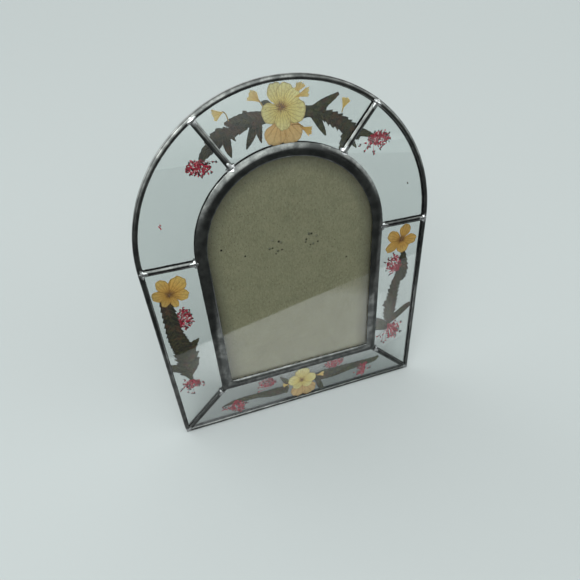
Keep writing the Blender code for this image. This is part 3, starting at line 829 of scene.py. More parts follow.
BLOOMS = {
    "bloom_top": [
        ((-3, 235), (-6.4, 248.4), 5.0, 0.03, 0.85), ((-1.8, 235.4), (1.6, 247.8), 5.0, 0.12, 0.9),
        ((-1.2, 235.2), (8.2, 243.4), 4.4, 0.17, 0.95), ((-1.8, 235), (-14, 231.2), 6.0, 0.08, 0.75),
        ((-2.6, 235.2), (12.2, 230.6), 6.8, 0.0, 0.85), ((-2.4, 236.4), (-1.4, 222.6), 5.0, 0.13, 0.85),
    ],
    "bloom_side_left": [
        ((-86.6, 131.4), (-75.8, 142), 5.9, 0.1, 0.85), ((-87, 131.4), (-91.6, 143), 4.3, 0.02, 0.8),
        ((-86.8, 131), (-98.2, 131.4), 4.3, 0.06, 0.7), ((-86.2, 131), (-74.4, 128.2), 4.7, 0.03, 0.8),
        ((-86.6, 131.4), (-83.6, 120.4), 2.7, 0.16, 0.7), ((-87.2, 131), (-92.4, 122.6), 2.8, 0.12, 0.6),
    ],
    "bloom_side_right": [
        ((83.6, 135.6), (87.6, 147.2), 4.6, 0.06, 0.75), ((83.4, 135.6), (72, 141), 4.5, 0.14, 0.75),
        ((83.4, 135.4), (96.2, 133.6), 4.4, 0.02, 0.8), ((83.2, 135.4), (71.4, 127.2), 4.1, 0.1, 0.78),
        ((83.6, 135.4), (86.2, 124), 5.0, 0.0, 0.85),
    ],
    "bloom_base": [
        ((-0.6, 20.4), (1.6, 34.2), 6.8, 0.04, 0.85), ((-0.2, 20.8), (-12.4, 23.4), 5.6, 0.1, 0.95),
        ((-0.8, 20.8), (12.6, 21.6), 5.4, 0.14, 0.9), ((-0.6, 21.4), (7.2, 12.4), 4.6, 0.02, 0.85),
        ((-0.4, 21.4), (-7.4, 12.6), 4.6, 0.0, 0.8),
    ],
    "bloom_top_lower": [
        ((-3.6, 228.5), (-9.4, 215), 6.8, -0.06, 0.85), ((-0.5, 228.5), (5.4, 215.2), 7.6, -0.09, 0.85),
        ((-2, 227), (-2.6, 216), 3.8, -0.12, 0.7),
    ],
    "bloom_base_lower": [
        ((0, 18.4), (-7.4, 3.6), 6.8, -0.06, 0.7), ((0, 18.4), (8.2, 3.4), 7.4, -0.09, 0.72),
        ((0, 17), (0.2, 3.6), 5.0, -0.12, 0.6),
    ],
}

# Hearts of the blooms: middle, reach and number of threads
HEARTS = {
    "bloom_top": ((-2.4, 235.4), 4.2, 17), "bloom_base": ((-0.6, 20.8), 2.6, 11),
    "bloom_side_left": ((-86.7, 131.2), 3.4, 9), "bloom_side_right": ((83.5, 135.8), 3.4, 9),
}

# Leaves: spines of (x, y, half width), then tone, depth of the teeth and their pitch
LEAVES = {
    "leaf_top_left": [
        ([(-11.5, 231, 3.2), (-17, 230.9, 3.9), (-23, 230.8, 4.0), (-29, 230.4, 3.2), (-33, 230.2, 2.0),
          (-35.4, 230.6, 0.6)], 0.2, 0.25, 2.6),
        ([(-23.6, 233, 1.3), (-23.2, 235.8, 1.2)], 0.25, 0, 3),
        ([(-22.6, 226.6, 0.5), (-27, 226, 1.8), (-31, 225.6, 2.6), (-35, 225.1, 3.5), (-38.6, 224, 4.4),
          (-42, 221.6, 4.3), (-46, 219, 3.8)], 0.05, 1.0, 3.4),
        ([(-35.6, 223.4, 2.6), (-35.2, 218.6, 2.3), (-34.6, 215.2, 1.7), (-33.8, 211.8, 0.3)], 0.1, 0.2, 2.4),
        ([(-32.4, 223.6, 1.4), (-30.2, 220.6, 0.3)], 0.1, 0, 3),
        ([(-18.4, 227.6, 2.8), (-20.6, 222.8, 2.3), (-22.6, 219, 1.6), (-24.6, 215.2, 0.3)], 0.12, 0.2, 2.4),
        ([(-16.6, 228, 2.6), (-16.2, 223.4, 1.9), (-15.4, 217.6, 0.3)], 0.1, 0.2, 2.4),
        ([(-7.4, 236, 1.0), (-10.4, 238, 1.8), (-13.4, 238.8, 0.8)], 0.35, 0, 3),
        ([(-13.4, 238.6, 0.6), (-11, 235, 0.5)], 0.1, 0, 3),
        ([(-7.8, 238.6, 0.25), (-6.2, 239.2, 0.45)], 0.1, 0, 3),
        ([(7.2, 236.3, 0.2), (9.2, 236.2, 0.8), (11, 236.9, 0.35)], 0.1, 0, 3),
    ],
    "leaf_top_right": [
        ([(9.5, 231.2, 3.4), (13, 231.4, 3.2), (17.5, 231.2, 3.0)], 0.4, 0.3, 3),
        ([(15, 230.6, 2.6), (19.5, 232.4, 3.1), (24, 234.8, 2.7), (28.6, 237, 1.8),
          (32.8, 239, 0.9)], 0.5, 0.2, 2.8),
        ([(15.5, 230.4, 2.8), (22, 229, 2.8), (28, 226.3, 3.8), (34, 223, 4.1), (39.5, 219.3, 3.9),
          (44, 216, 3.4), (47.6, 213.4, 2.6)], 0.15, 1.5, 3.2),
        ([(18.4, 228.6, 3.0), (20.8, 223.6, 2.2), (22.8, 220, 1.5), (24.4, 216.8, 0.5)], 0.3, 0.2, 2.4),
        ([(39.4, 218.6, 3.2), (37.4, 214.6, 2.8), (35, 210.4, 1.6), (33.6, 207.6, 0.6)], 0.2, 1.0, 3),
    ],
    "leaf_shoulder_left": [
        ([(-42, 221.2, 3.6), (-47, 217.4, 3.0), (-50.4, 214.2, 2.0), (-52, 212.4, 0.8)], 0.05, 0.5, 3),
    ],
    "leaf_shoulder_right": [
        ([(44.5, 217, 2.6), (50.5, 214.8, 2.1), (57.4, 212.2, 0.7)], 0.3, 0.2, 3),
        ([(40.6, 213, 1.9), (42.6, 210, 1.4), (44.7, 206.8, 0.35)], 0.25, 0.2, 3),
    ],
    "leaf_side_left": [
        ([(-90.4, 131, 3.2), (-90.4, 124, 4.1), (-90.3, 116, 4.6), (-90.2, 108, 5.0), (-90, 100, 5.5),
          (-89.3, 94, 6.2), (-88.4, 89, 6.6), (-87.6, 85, 6.6), (-87.4, 82.4, 5.4)], 0.05, 1.2, 3.4),
        ([(-87, 79, 2.2), (-82.4, 83.6, 3.6), (-78.8, 87, 2.5), (-74.8, 90.6, 0.25)], 0.2, 0.6, 3),
        ([(-87.3, 51.6, 0.9), (-87.6, 57, 2.2), (-88, 61, 5.0), (-87.4, 66, 6.6), (-86.4, 72, 7.4),
          (-86.2, 78, 8.0),
          (-86.8, 83, 7.4), (-87.3, 85.6, 5.8)], 0.3, 2.4, 4.2),
        ([(-87, 61.4, 3.0), (-92, 66, 3.8), (-96.6, 68.3, 3.4), (-100.2, 69.6, 2.8)], 0.4, 0.2, 3),
        ([(-86, 61.6, 2.4), (-83, 66.2, 2.6), (-79.2, 70, 0.9)], 0.45, 0.9, 3),
    ],
    "leaf_side_right": [
        ([(86, 126.6, 1.0), (86.4, 120, 2.9), (86.6, 113, 4.3), (86.4, 107, 5.0), (85.4, 102.6, 5.0),
          (84, 99.8, 3.2)], 0.15, 1.4, 3.4),
        ([(78.4, 53.4, 0.9), (78.6, 58, 1.5), (78.4, 63, 3.6), (78.4, 68, 4.9), (78.9, 74, 5.2),
          (79.2, 80, 5.1),
          (80.3, 86, 4.6), (81, 92, 4.1), (82.2, 98, 3.9), (84, 103, 3.4)], 0.3, 1.9, 3.4),
        ([(77.4, 79.8, 2.8), (74.6, 78.6, 1.5), (71.6, 77.8, 0.25)], 0.3, 0, 3),
        ([(77.8, 52, 1.0), (75.5, 54.8, 3.6), (71.6, 57.8, 5.3), (66.5, 60.2, 6.4),
          (62, 62, 6.6)], 0.45, 0.2, 3),
    ],
    "leaf_side_right_low": [
        ([(79, 59.4, 2.0), (84, 63.4, 3.3), (89.4, 67.6, 3.2), (93.8, 71, 3.0),
          (98, 73.6, 2.0)], 0.4, 0.2, 2.4),
    ],
    "leaf_base_left": [
        ([(-70, 15.2, 0.3), (-64, 16.6, 1.3), (-59, 17.3, 2.1), (-50, 17.4, 2.6), (-42, 17.2, 2.6),
          (-36, 16.6, 3.1),
          (-28.5, 15.6, 4.1), (-21, 15.3, 4.3), (-13, 14.8, 3.6)], 0.4, 0.7, 3.4),
        ([(-19, 30.7, 0.3), (-17, 28, 1.3), (-15, 25.4, 2.1), (-13.4, 22.4, 1.9),
          (-11.6, 19.4, 0.9)], 0.5, 0.2, 3),
        ([(-12.6, 17, 0.8), (-13.8, 13, 0.7), (-14.8, 10.2, 0.4)], 0.6, 0, 3),
    ],
    "leaf_base_right": [
        ([(9.5, 20, 3.6), (15, 19.6, 4.8), (20, 19.7, 5.4), (29, 19.6, 5.3), (36, 20, 4.7), (46, 20.4, 3.8),
          (56, 20.6, 3.3), (64, 20.7, 3.0), (68, 21.4, 2.6), (71.6, 23.4, 1.2)], 0.4, 0.7, 3.4),
        ([(12.5, 19.4, 1.6), (14.2, 14, 2.3), (16, 8.5, 2.5), (17.6, 3.4, 1.8)], 0.3, 0.2, 3),
    ],
}

# Umbels: root, middle, half spread, number of florets, and strays that have come loose
UMBELS = {
    "umbel_shoulder_left": (
        (-51.4, 213.4), (-54, 209), (7.0, 4.2), 125,
        [(-45, 211.2), (-43, 210.6), (-46.6, 208.4), (-46.4, 205.6), (-48.2, 205.2), (-52.4, 204)],
    ),
    "umbel_shoulder_right": (
        (57, 212.6), (60, 210.4), (7.6, 4.4), 125,
        [(47.4, 208), (51, 203.8), (56.6, 201.8), (57.6, 202.4), (61.6, 204.2), (63, 206), (67, 212.6),
         (67.4, 209), (61.6, 215), (52.6, 205.4), (51, 208.6), (53.6, 206.4)],
    ),
    "umbel_side_left_high": (
        (-85.4, 103.4), (-81, 110), (4.8, 7.8), 112,
        [(-76.2, 108.6), (-75.6, 106.4), (-77.2, 105), (-76, 112), (-78.4, 116.4), (-80.4, 119),
         (-84.8, 115), (-77, 115.8), (-81, 102.4), (-82, 101.4)],
    ),
    "umbel_side_left_low": (
        (-87.4, 54), (-87, 49), (6.0, 4.3), 98,
        [(-92, 54.8), (-93.6, 51), (-94, 48.4), (-95.6, 46.8), (-97.2, 46), (-91.6, 42), (-91.4, 45.4),
         (-87.6, 39.6), (-88.8, 40), (-79.4, 48.8), (-79.8, 45), (-84, 51.4), (-89.6, 45), (-79, 47)],
    ),
    "umbel_side_right_high": (
        (84, 108.6), (79, 115.4), (6.0, 7.4), 118,
        [(71.6, 118.4), (73.8, 120.6), (77.8, 124.4), (78.4, 123.6), (80.6, 122), (73.4, 115.2), (73, 110.6),
         (73.6, 112.6), (76.2, 106.6), (77.4, 107.4)],
    ),
    "umbel_side_right_low": (
        (78, 58), (83, 49.6), (6.0, 8.2), 125,
        [(85, 58.4), (84.6, 56.4), (90, 55.4), (91, 56.6), (88.6, 51.6), (86.8, 47.4), (90.4, 45.8),
         (91.2, 45),
         (87.4, 42), (86.4, 40.8), (82.4, 43.4), (79.4, 42.2), (79.2, 45), (77.2, 40), (75.4, 38.4),
         (73.6, 39.4),
         (69.4, 46.2), (70.6, 47), (72.2, 45.2), (74.6, 47.2)],
    ),
    "umbel_base_far_left": (
        (-57.6, 19.6), (-56.8, 11.2), (5.6, 7.0), 90,
        [(-69.4, 12), (-67.6, 12.6), (-66.4, 11.2), (-65, 12.4), (-64, 11), (-63, 12.8), (-67.4, 14),
         (-49, 12.2),
         (-50.6, 12.8), (-62, 9.6), (-69, 14.4)],
    ),
    "umbel_base_left": (
        (-25.4, 23.4), (-30, 28.6), (6.8, 4.8), 71,
        [(-37.6, 25.4), (-36.6, 30.4), (-34, 33.4), (-26.4, 32.4), (-38.5, 21.2), (-24, 28), (-30.6, 34),
         (-23.6, 27)],
    ),
    "umbel_base_right": (
        (30, 24.4), (29, 30.4), (8.2, 4.6), 85,
        [(37.2, 33), (37.4, 30.4), (35.6, 31.6), (22.4, 34.4), (34, 26.8), (36.6, 29), (20.6, 29)],
    ),
    "umbel_base_far_right": (
        (59.4, 21.6), (55.2, 12.4), (4.4, 7.6), 62,
        [(47.6, 11.4), (61.4, 12.6), (62.8, 12.2), (64, 12.2), (58.6, 14), (49.8, 4.8), (49, 5.6), (51, 8.4),
         (58.6, 18), (60, 19.6)],
    ),
}

# Loose petals: fans of (apex, one end, other end), then the spine of their stalk
BUDS = {
    "bud_far_left": (
        [((-34.4, 236.6), (-41.4, 238.6), (-39.6, 231.8))],
        [(-35.4, 236.8, 0.3), (-33.8, 235.2, 0.3), (-32.8, 231.6, 0.35)],
    ),
    "bud_left": (
        [((-14.2, 239), (-18, 246), (-21.6, 240.6)), ((-14.2, 239), (-15.4, 244.4), (-18.4, 245.2))],
        [(-16.6, 242.4, 0.25), (-14.6, 240, 0.35), (-13.2, 237.6, 0.4), (-11.4, 235, 0.35)],
    ),
    "bud_right": (
        [((34.8, 229.8), (34.6, 236.8), (40.4, 234.4))],
        [(35.6, 231.4, 0.3), (34.6, 228.4, 0.3)],
    ),
    "bud_top": (
        [((4.6, 239.6), (7.4, 247.2), (13, 245)), ((5, 239.4), (13.6, 244.4), (14.2, 239))],
        [(5.4, 240.6, 0.25), (2.6, 237.6, 0.3)],
    ),
    "bud_low_right": (
        [((7.6, 224.2), (15.8, 223), (13.6, 217.4))],
        [(3.4, 225.3, 0.2), (7, 225.2, 0.25), (10.4, 223.6, 0.3)],
    ),
    "bud_base": (
        [((12.4, 21.6), (19, 24.6), (19, 18.6))],
        [(13.6, 22, 0.22), (11.6, 22.6, 0.25)],
    ),
    "bud_base_left": (
        [((-12, 20), (-17, 23), (-16.8, 18))],
        [(-13, 20.4, 0.25), (-12.4, 16.6, 0.3)],
    ),
}

# Pricks where pins once went through the board: place and radius
PRICKS = [
    (-10.2, 153.3, 0.8), (-14.8, 149.3, 0.6), (-8.4, 146.9, 0.6), (-12.8, 144.6, 0.5), (13.1, 154.4, 0.7),
    (9.3, 150.9, 0.7), (17.5, 147.6, 0.65), (12.1, 146.3, 0.5), (-48.7, 155.1, 0.7), (-33.8, 147.5, 0.6),
    (39.1, 130.7, 0.6),
]
BOARD_FACE = -0.7


def board_marks():
    """Shallow torn burrs round each prick in the board."""
    shape = bmesh.new()
    chance = random.Random(5)
    for x, y, radius in PRICKS:
        for index in range(5):
            turn = math.tau * (index + chance.uniform(-0.3, 0.3)) / 5
            way = towards(turn)
            near = Vector((x, y)) + way * radius * 0.7
            far = Vector((x, y)) + way * radius * chance.uniform(1.7, 2.6)
            add_blade(
                shape, [(*near, 0.4), (*near.lerp(far, 0.5), 0.34), (*far, 0.08)],
                BOARD_FACE + 0.06, tone=0.5, thickness=0.1, columns=3, seed=index,
            )
    return shape


def board_pricks():
    """A dark disc in each prick in the board, painted shade for the hole."""
    shape = bmesh.new()
    for x, y, radius in PRICKS:
        bmesh.ops.create_cone(
            shape, cap_ends=True, segments=12, radius1=radius * 1.15, radius2=radius, depth=0.1,
            matrix=Matrix.Translation((x, y, BOARD_FACE + 0.05)),
        )
    return shape


# Places on the hinge, from its axis: the two rings of prongs on each plate, and the
# heights of what lies on the back
PRONG_RING = 4.3
PLATE_BACK, LEAF_BACK = -3.6, -2.4
TAB_HEIGHT, TACK_HEIGHT = -3.04, -3.2
PLATE_RINGS = [(-12.76, 9.5), (12.76, 9.5)]
LEAF_RINGS = [(0, -7.04), (0, -16.5)]
DENT_SECTION = [(2.1, 0.02), (2.35, 0.2), (2.6, 0.2), (2.85, 0.02), (2.6, -0.1), (2.35, -0.1)]
# The tabs that hold the board: place on the back and turn in degrees
TABS = {
    "tab_left": (-60, 96, 90), "tab_right": (60, 96, 90),
    "tab_arch_left": (-42.1, 192.1, 45), "tab_arch_right": (42.1, 192.1, -45),
    "tab_base_left": (-44, 41, 0), "tab_base_right": (44, 41, 0),
}


def prong_dents(rings, back):
    """The raised lips round each punched prong on the back of a hinge plate, and the
    dished boss that each ring of prongs was struck from."""
    shape = bmesh.new()
    for x, y in rings:
        made = add_ring(shape, DENT_SECTION, 24)
        bmesh.ops.translate(shape, verts=made, vec=(x, y, 0))
        for step in range(4):
            turn = math.radians(20 + 90 * step)
            made = bmesh.ops.create_uvsphere(shape, u_segments=10, v_segments=6, radius=0.8)["verts"]
            bmesh.ops.scale(shape, verts=made, vec=(1, 1, 0.3))
            bmesh.ops.translate(shape, verts=made, vec=(*(Vector((x, y)) + PRONG_RING * towards(turn)), 0))
    shape.transform(Matrix.Translation((0, 0, back)) @ Matrix.Diagonal((1, 1, -1, 1)))
    bmesh.ops.recalc_face_normals(shape, faces=shape.faces)
    return shape


def add_ring(shape, section, segments):
    """A closed ring spun round Z from a closed section of (radius, height) points."""
    before = set(shape.verts)
    ring = ring_of(shape, [(radius, 0, height) for radius, height in section])
    bmesh.ops.spin(
        shape, geom=ring, cent=(0, 0, 0), axis=(0, 0, 1), angle=math.tau, steps=segments, use_merge=True,
    )
    return [vert for vert in shape.verts if vert not in before]


def tab_shape(x, y, turn):
    """A strip of tinplate with clipped corners, its free end pressed onto the board and
    the other end tacked to the came."""
    shape = bmesh.new()
    bmesh.ops.create_cube(shape, size=1.0, matrix=Matrix.Diagonal((7, 9, 0.46, 1)))
    corners = [edge for edge in shape.edges if abs(edge.verts[0].co.z - edge.verts[1].co.z) > 0.1]
    bmesh.ops.bevel(
        shape, geom=corners, offset=1.5, offset_type="OFFSET", segments=3, profile=0.5,
        affect="EDGES", material=-1,
    )
    for height in (-2.5, -1.5, -0.5, 0.5, 1.5, 2.5):
        everything = shape.verts[:] + shape.edges[:] + shape.faces[:]
        bmesh.ops.bisect_plane(shape, geom=everything, plane_co=(0, height, 0), plane_no=(0, 1, 0))
    for vert in shape.verts:
        vert.co.z -= 0.16 * math.exp(-((vert.co.y / 1.2) ** 2))
    bmesh.ops.bevel(
        shape, geom=[edge for edge in shape.edges if edge.calc_face_angle(0) > 1.0], offset=0.08,
        offset_type="OFFSET", segments=2, profile=0.5, affect="EDGES", material=-1,
    )
    shape.transform(Matrix.Translation((x, y, TAB_HEIGHT)) @ Matrix.Rotation(math.radians(turn), 4, "Z"))
    return shape


def tab_tack(x, y, turn):
    """A flat dab of solder that holds the outer end of a tab."""
    shape = bmesh.new()
    made = bmesh.ops.create_uvsphere(shape, u_segments=28, v_segments=14, radius=1.0)["verts"]
    out = Vector((x, y - SPRING)) if abs(turn) == 45 else Vector((x, 0)) if turn else Vector((0, -1))
    middle = Vector((x, y)) + out.normalized() * 3.4
    for vert in made:
        wave = 1 + 0.16 * noise.noise(Vector((vert.co.x * 1.6, vert.co.y * 1.6, x + y)))
        vert.co = Vector((vert.co.x * 2.4 * wave, vert.co.y * 1.9 * wave, vert.co.z * 0.34))
    shape.transform(Matrix.Translation((*middle, TACK_HEIGHT)))
    return shape


# ------------------------------------------------------------------ settings

class CameSettings(bpy.types.PropertyGroup):
    """Sizes and colours of the cames."""

    hand_work: FloatProperty(
        name="Hand work", description="Depth of the small waves and dents, in millimetres",
        default=0.07, min=0, max=0.3,
    )
    patina: FloatVectorProperty(
        name="Patina", description="Colour of the blackened came",
        subtype="COLOR", size=3, min=0, max=1, default=srgb("#3e403f")[:3],
    )
    worn: FloatVectorProperty(
        name="Worn metal", description="Colour where the patina is rubbed",
        subtype="COLOR", size=3, min=0, max=1, default=srgb("#606260")[:3],
    )


class StageSettings(bpy.types.PropertyGroup):
    """Floor, light and camera."""

    floor: FloatVectorProperty(
        name="Floor", description="Colour of the plain floor", subtype="COLOR", size=3, min=0, max=1,
        default=srgb("#808484")[:3],
    )
    sky: FloatProperty(
        name="Sky", description="Strength of the even light from all round", default=1.2, min=0, max=5,
    )
    card: FloatProperty(
        name="White card", description="Glow of the reflector card in front of the frame",
        default=1.5, min=0, max=10,
    )
    lens: FloatProperty(
        name="Lens", description="Focal length of the camera", default=25.31, min=10, max=200,
        subtype="DISTANCE_CAMERA",
    )


class FlowerFrameSettings(bpy.types.PropertyGroup):
    """All settings of the frame."""

    came: PointerProperty(type=CameSettings)
    stage: PointerProperty(type=StageSettings)


def settings_of(context):
    """The settings of the frame in this scene."""
    return context.scene.flower_frame


# ------------------------------------------------------------------ operators

class FLOWERFRAME_OT_cames(bpy.types.Operator):
    """Build the rim, the opening came and the dividing bars"""

    bl_idname = "flowerframe.cames"
    bl_label = "Cames"

    def execute(self, context):
        came = settings_of(context).came
        metal = patinated_came(came.patina, came.worn)
        finish_piece(rim_came(came), "rim", metal, ["rim_came"])
        finish_piece(opening_came(came), "opening", metal, ["opening_came"])
        for name, (inner, outer) in BARS.items():
            finish_piece(bar_came(inner, outer, came), name + "_came", metal, [name])
        finish_piece(solder_work(), "solder_joints", bright_solder())
        return {"FINISHED"}


class FLOWERFRAME_OT_glass(bpy.types.Operator):
    """Give the panels and the photo glass their glass"""

    bl_idname = "flowerframe.glass"
    bl_label = "Glass"

    def execute(self, context):
        glass = sheet_glass()
        for name, node in frame["nodes"].items():
            if name.startswith("glass_") or name == "photo_glass":
                node.material_slots[0].material = glass
        return {"FINISHED"}


# Colours of the petals: heart, body, rim and veins, and how many veins fan out
PETAL_LOOKS = {
    "primrose": ("#c08424", "#ffe88c", "#fff4ac", "#94621a", 34.0),
    "bud": ("#d8902a", "#f6cc66", "#fadc8c", "#b8741c", 16.0),
    "ochre": ("#7c480c", "#f4ba56", "#fad072", "#8a5614", 26.0),
    "amber": ("#763c08", "#eeb450", "#f6c66c", "#864c0e", 26.0),
    "peach": ("#cc8e46", "#f6c884", "#f8d294", "#b07630", 18.0),
}
# Crimson crumbs that came loose: place and tone
SPECKS = [(-82.4, 178.4, 0.5), (-81.6, 179.2, 0.35), (-81.8, 177.2, 0.6), (84, 178, 0.0)]


class FLOWERFRAME_OT_flowers(bpy.types.Operator):
    """Lay the pressed flowers, leaves and florets between the sheets"""

    bl_idname = "flowerframe.flowers"
    bl_label = "Pressed flowers"

    def execute(self, context):
        yellow, bud, ochre, amber, peach = (
            pressed_petal("pressed " + kind + " petal", *look) for kind, look in PETAL_LOOKS.items()
        )
        kinds = {
            "bloom_top": (yellow, "petal_yellow"), "bloom_base": (yellow, "petal_yellow"),
            "bloom_side_left": (ochre, "petal_ochre"), "bloom_side_right": (amber, "petal_ochre"),
            "bloom_top_lower": (peach, "petal_peach"), "bloom_base_lower": (peach, "petal_peach"),
        }
        for name, petals in BLOOMS.items():
            shape = bmesh.new()
            for index, petal in enumerate(petals):
                add_petal(shape, *petal, seed=index + len(name))
            material, slot = kinds[name]
            finish_piece(shape, name + "_petals", material, [name])
        for index, (name, heart) in enumerate(HEARTS.items()):
            shape = bmesh.new()
            add_heart(shape, *heart, tone=0.3, seed=index)
            finish_piece(shape, name + "_heart", pressed_heart())
        for name, (petals, stalk) in BUDS.items():
            shape = bmesh.new()
            for index, fan in enumerate(petals):
                add_fan(shape, *fan, layer=0.16 + 0.05 * index, tone=0.85, seed=index + len(name))
            add_blade(shape, stalk, 0.08, tone=0.1, columns=2)
            finish_piece(shape, name, amber if name == "bud_low_right" else bud)
        leaf = pressed_leaf()
        for name, blades in LEAVES.items():
            shape = bmesh.new()
            for index, (spine, tone, teeth, pitch) in enumerate(blades):
                layer = -0.16 - 0.035 * (index % 4)
                add_blade(shape, spine, layer, teeth, pitch, tone, columns=12, seed=index)
            finish_piece(shape, name + "_blades", leaf, [name])
        crimson = pressed_umbel()
        specks = bmesh.new()
        layers_of(specks)
        for x, y, tone in SPECKS:
            add_floret(specks, Vector((x, y)), Vector((0.4, -0.9)), 1.3, 0.5, 0.0, tone)
        finish_piece(specks, "loose_specks", crimson)
        for index, (name, umbel) in enumerate(UMBELS.items()):
            shape = bmesh.new()
            add_umbel(shape, *umbel, seed=index + 11)
            finish_piece(shape, name + "_florets", crimson, [name])
        return {"FINISHED"}


class FLOWERFRAME_OT_back(bpy.types.Operator):
    """Finish the backing board, the easel leg, the hinge and the tabs"""

    bl_idname = "flowerframe.back"
    bl_label = "Board and easel"

    def execute(self, context):
        board, steel = grey_chipboard(), tinned_steel()
        finish_piece(board_marks(), "board_burrs", board)
        finish_piece(board_pricks(), "board_pricks", prick_shade())
        rings = [(x, y + HINGE_ON_FRAME.y) for x, y in PLATE_RINGS]
        finish_piece(prong_dents(rings, PLATE_BACK), "plate_dents", steel)
        dents = prong_dents(LEAF_RINGS, LEAF_BACK)
        finish_piece(dents, "leaf_dents", steel, body="leg", place=LEG_SET_UP)
        solder = bright_solder()
        for name, tab in TABS.items():
            finish_piece(tab_shape(*tab), name + "_plate", steel, [name])
            finish_piece(tab_tack(*tab), name + "_tack", solder)
        for name, node in frame["nodes"].items():
            if name in ("backing_board", "easel_leg"):
                node.material_slots[0].material = board
            elif name.startswith("hinge_"):
                node.material_slots[0].material = steel
        return {"FINISHED"}


# ------------------------------------------------------------------ stage

CAMERA_PLACE = (-0.0718, -0.2093, 0.3156)
CAMERA_TURN = (46.19, 0.07, -18.40)     # degrees
SENSOR_WIDTH = 36.0                     # millimetres
FLOOR_HALF = 3.0
SOFTBOX_PLACE = (-0.9, -0.9, 1.2)
SOFTBOX_TARGET = (0, 0, 0.1)
SOFTBOX_SIZE = 0.7
SOFTBOX_POWER = 11
# The edge between the two reflector cards that lie on the table, in metres
CARD_LINE = Vector((0, -0.195, 0.002))
CARD_WAY = Vector((0.943, -0.333))
CARD_HALF = 1.5
# The brightest part of the white card, along and away from that edge
CARD_SPOT = Vector((0.02, 0.05, 0))
CARD_SPOT_SIZE = (0.125, 0.09, 1)
WHITE_CARD_HALF = 0.075
BACKDROP = 2.9
SKY_BASE = 0.1
# Glows in the sky: direction, where each starts and is full as a cosine, and its level
SKY_GLOWS = [
    ((0, 0, 1), 0.12, 0.9, 0.62), ((-0.3, -0.62, 0.72), 0.54, 0.96, 3.3),
    ((0.84, -0.42, 0.34), 0.84, 0.97, 3.0), ((0.1, -0.95, 0.36), 0.9, 0.98, 2.0),
    ((0.1, 0.85, 0.5), 0.4, 0.9, 1.0), ((-0.8, 0.55, 0.26), 0.72, 0.97, 3.4),
]


class FLOWERFRAME_OT_stage(bpy.types.Operator):
    """Set the floor, the reflector cards, the lights and the camera"""

    bl_idname = "flowerframe.stage"
    bl_label = "Stage"

    def execute(self, context):
        stage = settings_of(context).stage
        table, _, shader, _ = new_material("matt pale table")
        feed(shader, {"Base Color": (*stage.floor, 1), "Roughness": 1.0, "Specular IOR Level": 0.0})
        stage_sheet(context, "floor", table, FLOOR_HALF, Matrix.Identity(4))

        felt, node, shader, _ = new_material("black felt")
        feed(shader, {"Base Color": srgb("#353736"), "Roughness": 1.0, "Alpha": only_mirrored(node)})
        heading = math.atan2(CARD_WAY.y, CARD_WAY.x)
        turn = Matrix.Rotation(heading, 4, "Z")
        paper, node, shader, place = new_material("white card")
        spot = node("Mapping", {
            "Vector": place, "Location": CARD_LINE + turn @ CARD_SPOT, "Rotation": (0, 0, heading),
            "Scale": CARD_SPOT_SIZE,
        }, vector_type="TEXTURE")
        away = node("VectorMath", {0: spot}, "Value", operation="LENGTH")
        feed(shader, {
            "Base Color": srgb("#101010"), "Roughness": 1.0, "Emission Color": srgb("#f1f5f6"),
            "Emission Strength": node("MapRange", {
                "Value": away, "From Min": 0.8, "From Max": 1.1,
                "To Min": stage.card, "To Max": 0.4 * stage.card,
            }, "Result"),
            "Alpha": only_mirrored(node),
        })
        cards = (("dark_card", felt, -CARD_HALF), ("white_card", paper, WHITE_CARD_HALF))
        for name, material, depth in cards:
            narrow = Matrix.Diagonal((1, abs(depth) / CARD_HALF, 1, 1))
            lie = Matrix.Translation(CARD_LINE) @ turn @ Matrix.Translation((0, depth, 0)) @ narrow
            card = stage_sheet(context, name, material, CARD_HALF, lie)
            card.visible_camera = card.visible_diffuse = card.visible_shadow = False

        haze, _, shader, _ = new_material("pale backdrop")
        feed(shader, {
            "Base Color": srgb("#000000"), "Roughness": 1.0, "Specular IOR Level": 0.0,
            "Emission Color": srgb("#dbe3e2"), "Emission Strength": 1.0,
        })
        backdrop = bmesh.new()
        bmesh.ops.create_uvsphere(backdrop, u_segments=48, v_segments=24, radius=BACKDROP)
        backdrop = stage_piece(context, "backdrop", haze, backdrop)
        backdrop.visible_diffuse = backdrop.visible_glossy = backdrop.visible_shadow = False

        soft_sky(context, stage.sky)
        add_light(
            context, "front left softbox", SOFTBOX_PLACE, SOFTBOX_TARGET, SOFTBOX_SIZE, SOFTBOX_POWER,
        )

        lens = bpy.data.cameras.new("camera")
        lens.lens = stage.lens
        lens.sensor_width = SENSOR_WIDTH
        lens.clip_start = 0.01
        camera = bpy.data.objects.new("camera", lens)
        camera.location = CAMERA_PLACE
        camera.rotation_euler = [math.radians(degrees) for degrees in CAMERA_TURN]
        context.scene.collection.objects.link(camera)
        context.scene.camera = camera
        context.scene.view_settings.view_transform = "Standard"
        return {"FINISHED"}


def only_mirrored(node):
    """1 where a ray has been mirrored on its way, 0 where it comes straight through glass."""
    depth = node("LightPath", output="Glossy Depth")
    return node("Math", {0: depth, 1: 0.5}, operation="GREATER_THAN")


def stage_sheet(context, name, material, half, place):
    """A flat sheet that isn't part of the frame."""
    shape = bmesh.new()
    bmesh.ops.create_grid(shape, x_segments=2, y_segments=2, size=half)
    shape.transform(place)
    return stage_piece(context, name, material, shape)


def stage_piece(context, name, material, shape):
    """Makes a shape an object of the stage."""
    mesh = bpy.data.meshes.new(name)
    shape.to_mesh(mesh)
    shape.free()
    mesh.materials.append(material)
    sheet = bpy.data.objects.new(name, mesh)
    context.scene.collection.objects.link(sheet)
    return sheet


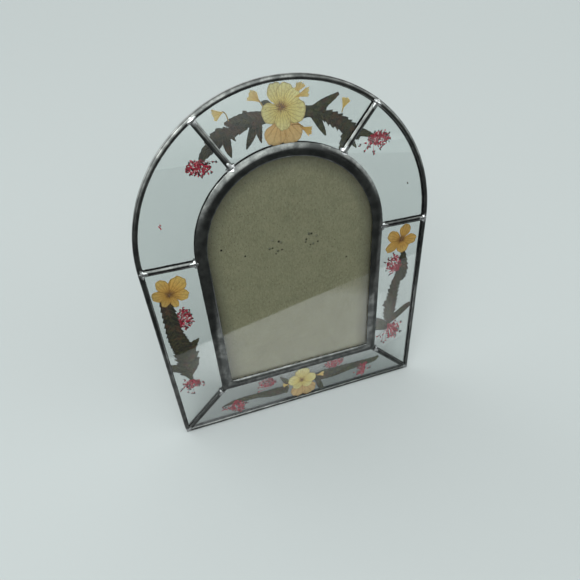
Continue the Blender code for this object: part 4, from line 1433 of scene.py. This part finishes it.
def soft_sky(context, strength):
    """A dim even sky with six soft glows: overhead, in front, to both sides and behind."""
    world = bpy.data.worlds.new("studio")
    context.scene.world = world
    world.use_nodes = True
    node = partial(add_node, world.node_tree)
    way = node("TexCoord", output="Generated")
    total = SKY_BASE
    for direction, start, end, level in SKY_GLOWS:
        near = node(
            "VectorMath", {0: way, 1: Vector(direction).normalized()}, "Value", operation="DOT_PRODUCT",
        )
        glow = node(
            "MapRange", {"Value": near, "From Min": start, "From Max": end, "To Max": level * strength},
            "Result", interpolation_type="SMOOTHSTEP",
        )
        total = node("Math", {0: glow, 1: total}, operation="ADD")
    feed(world.node_tree.nodes["Background"], {"Color": srgb("#f1f5f4"), "Strength": total})


def add_light(context, name, place, target, size, power):
    """A square softbox at a place, aimed at a target."""
    light = bpy.data.lights.new(name, "AREA")
    light.size = size
    light.energy = power
    lamp = bpy.data.objects.new(name, light)
    lamp.location = place
    lamp.rotation_euler = (Vector(target) - Vector(place)).to_track_quat("-Z", "Y").to_euler()
    context.scene.collection.objects.link(lamp)


class FLOWERFRAME_PT_panel(bpy.types.Panel):
    """Steps and settings of the pressed flower frame"""

    bl_label = "Pressed Flower Frame"
    bl_space_type = "VIEW_3D"
    bl_region_type = "UI"
    bl_category = "Flower Frame"

    def draw(self, context):
        settings = settings_of(context)
        column = self.layout.column()
        for step in STEPS:
            column.operator(step.bl_idname)
        for name in ("hand_work", "patina", "worn"):
            column.prop(settings.came, name)
        for name in ("floor", "sky", "card", "lens"):
            column.prop(settings.stage, name)


STEPS = (
    FLOWERFRAME_OT_cames, FLOWERFRAME_OT_glass, FLOWERFRAME_OT_flowers, FLOWERFRAME_OT_back,
    FLOWERFRAME_OT_stage,
)
CLASSES = (CameSettings, StageSettings, FlowerFrameSettings, *STEPS, FLOWERFRAME_PT_panel)


def register():
    for item in CLASSES:
        bpy.utils.register_class(item)
    bpy.types.Scene.flower_frame = PointerProperty(type=FlowerFrameSettings)


def unregister():
    del bpy.types.Scene.flower_frame
    for item in reversed(CLASSES):
        bpy.utils.unregister_class(item)


def main():
    register()
    bpy.ops.flowerframe.cames()
    bpy.ops.flowerframe.glass()
    bpy.ops.flowerframe.flowers()
    bpy.ops.flowerframe.back()
    bpy.ops.flowerframe.stage()


if __name__ == "__main__":
    main()
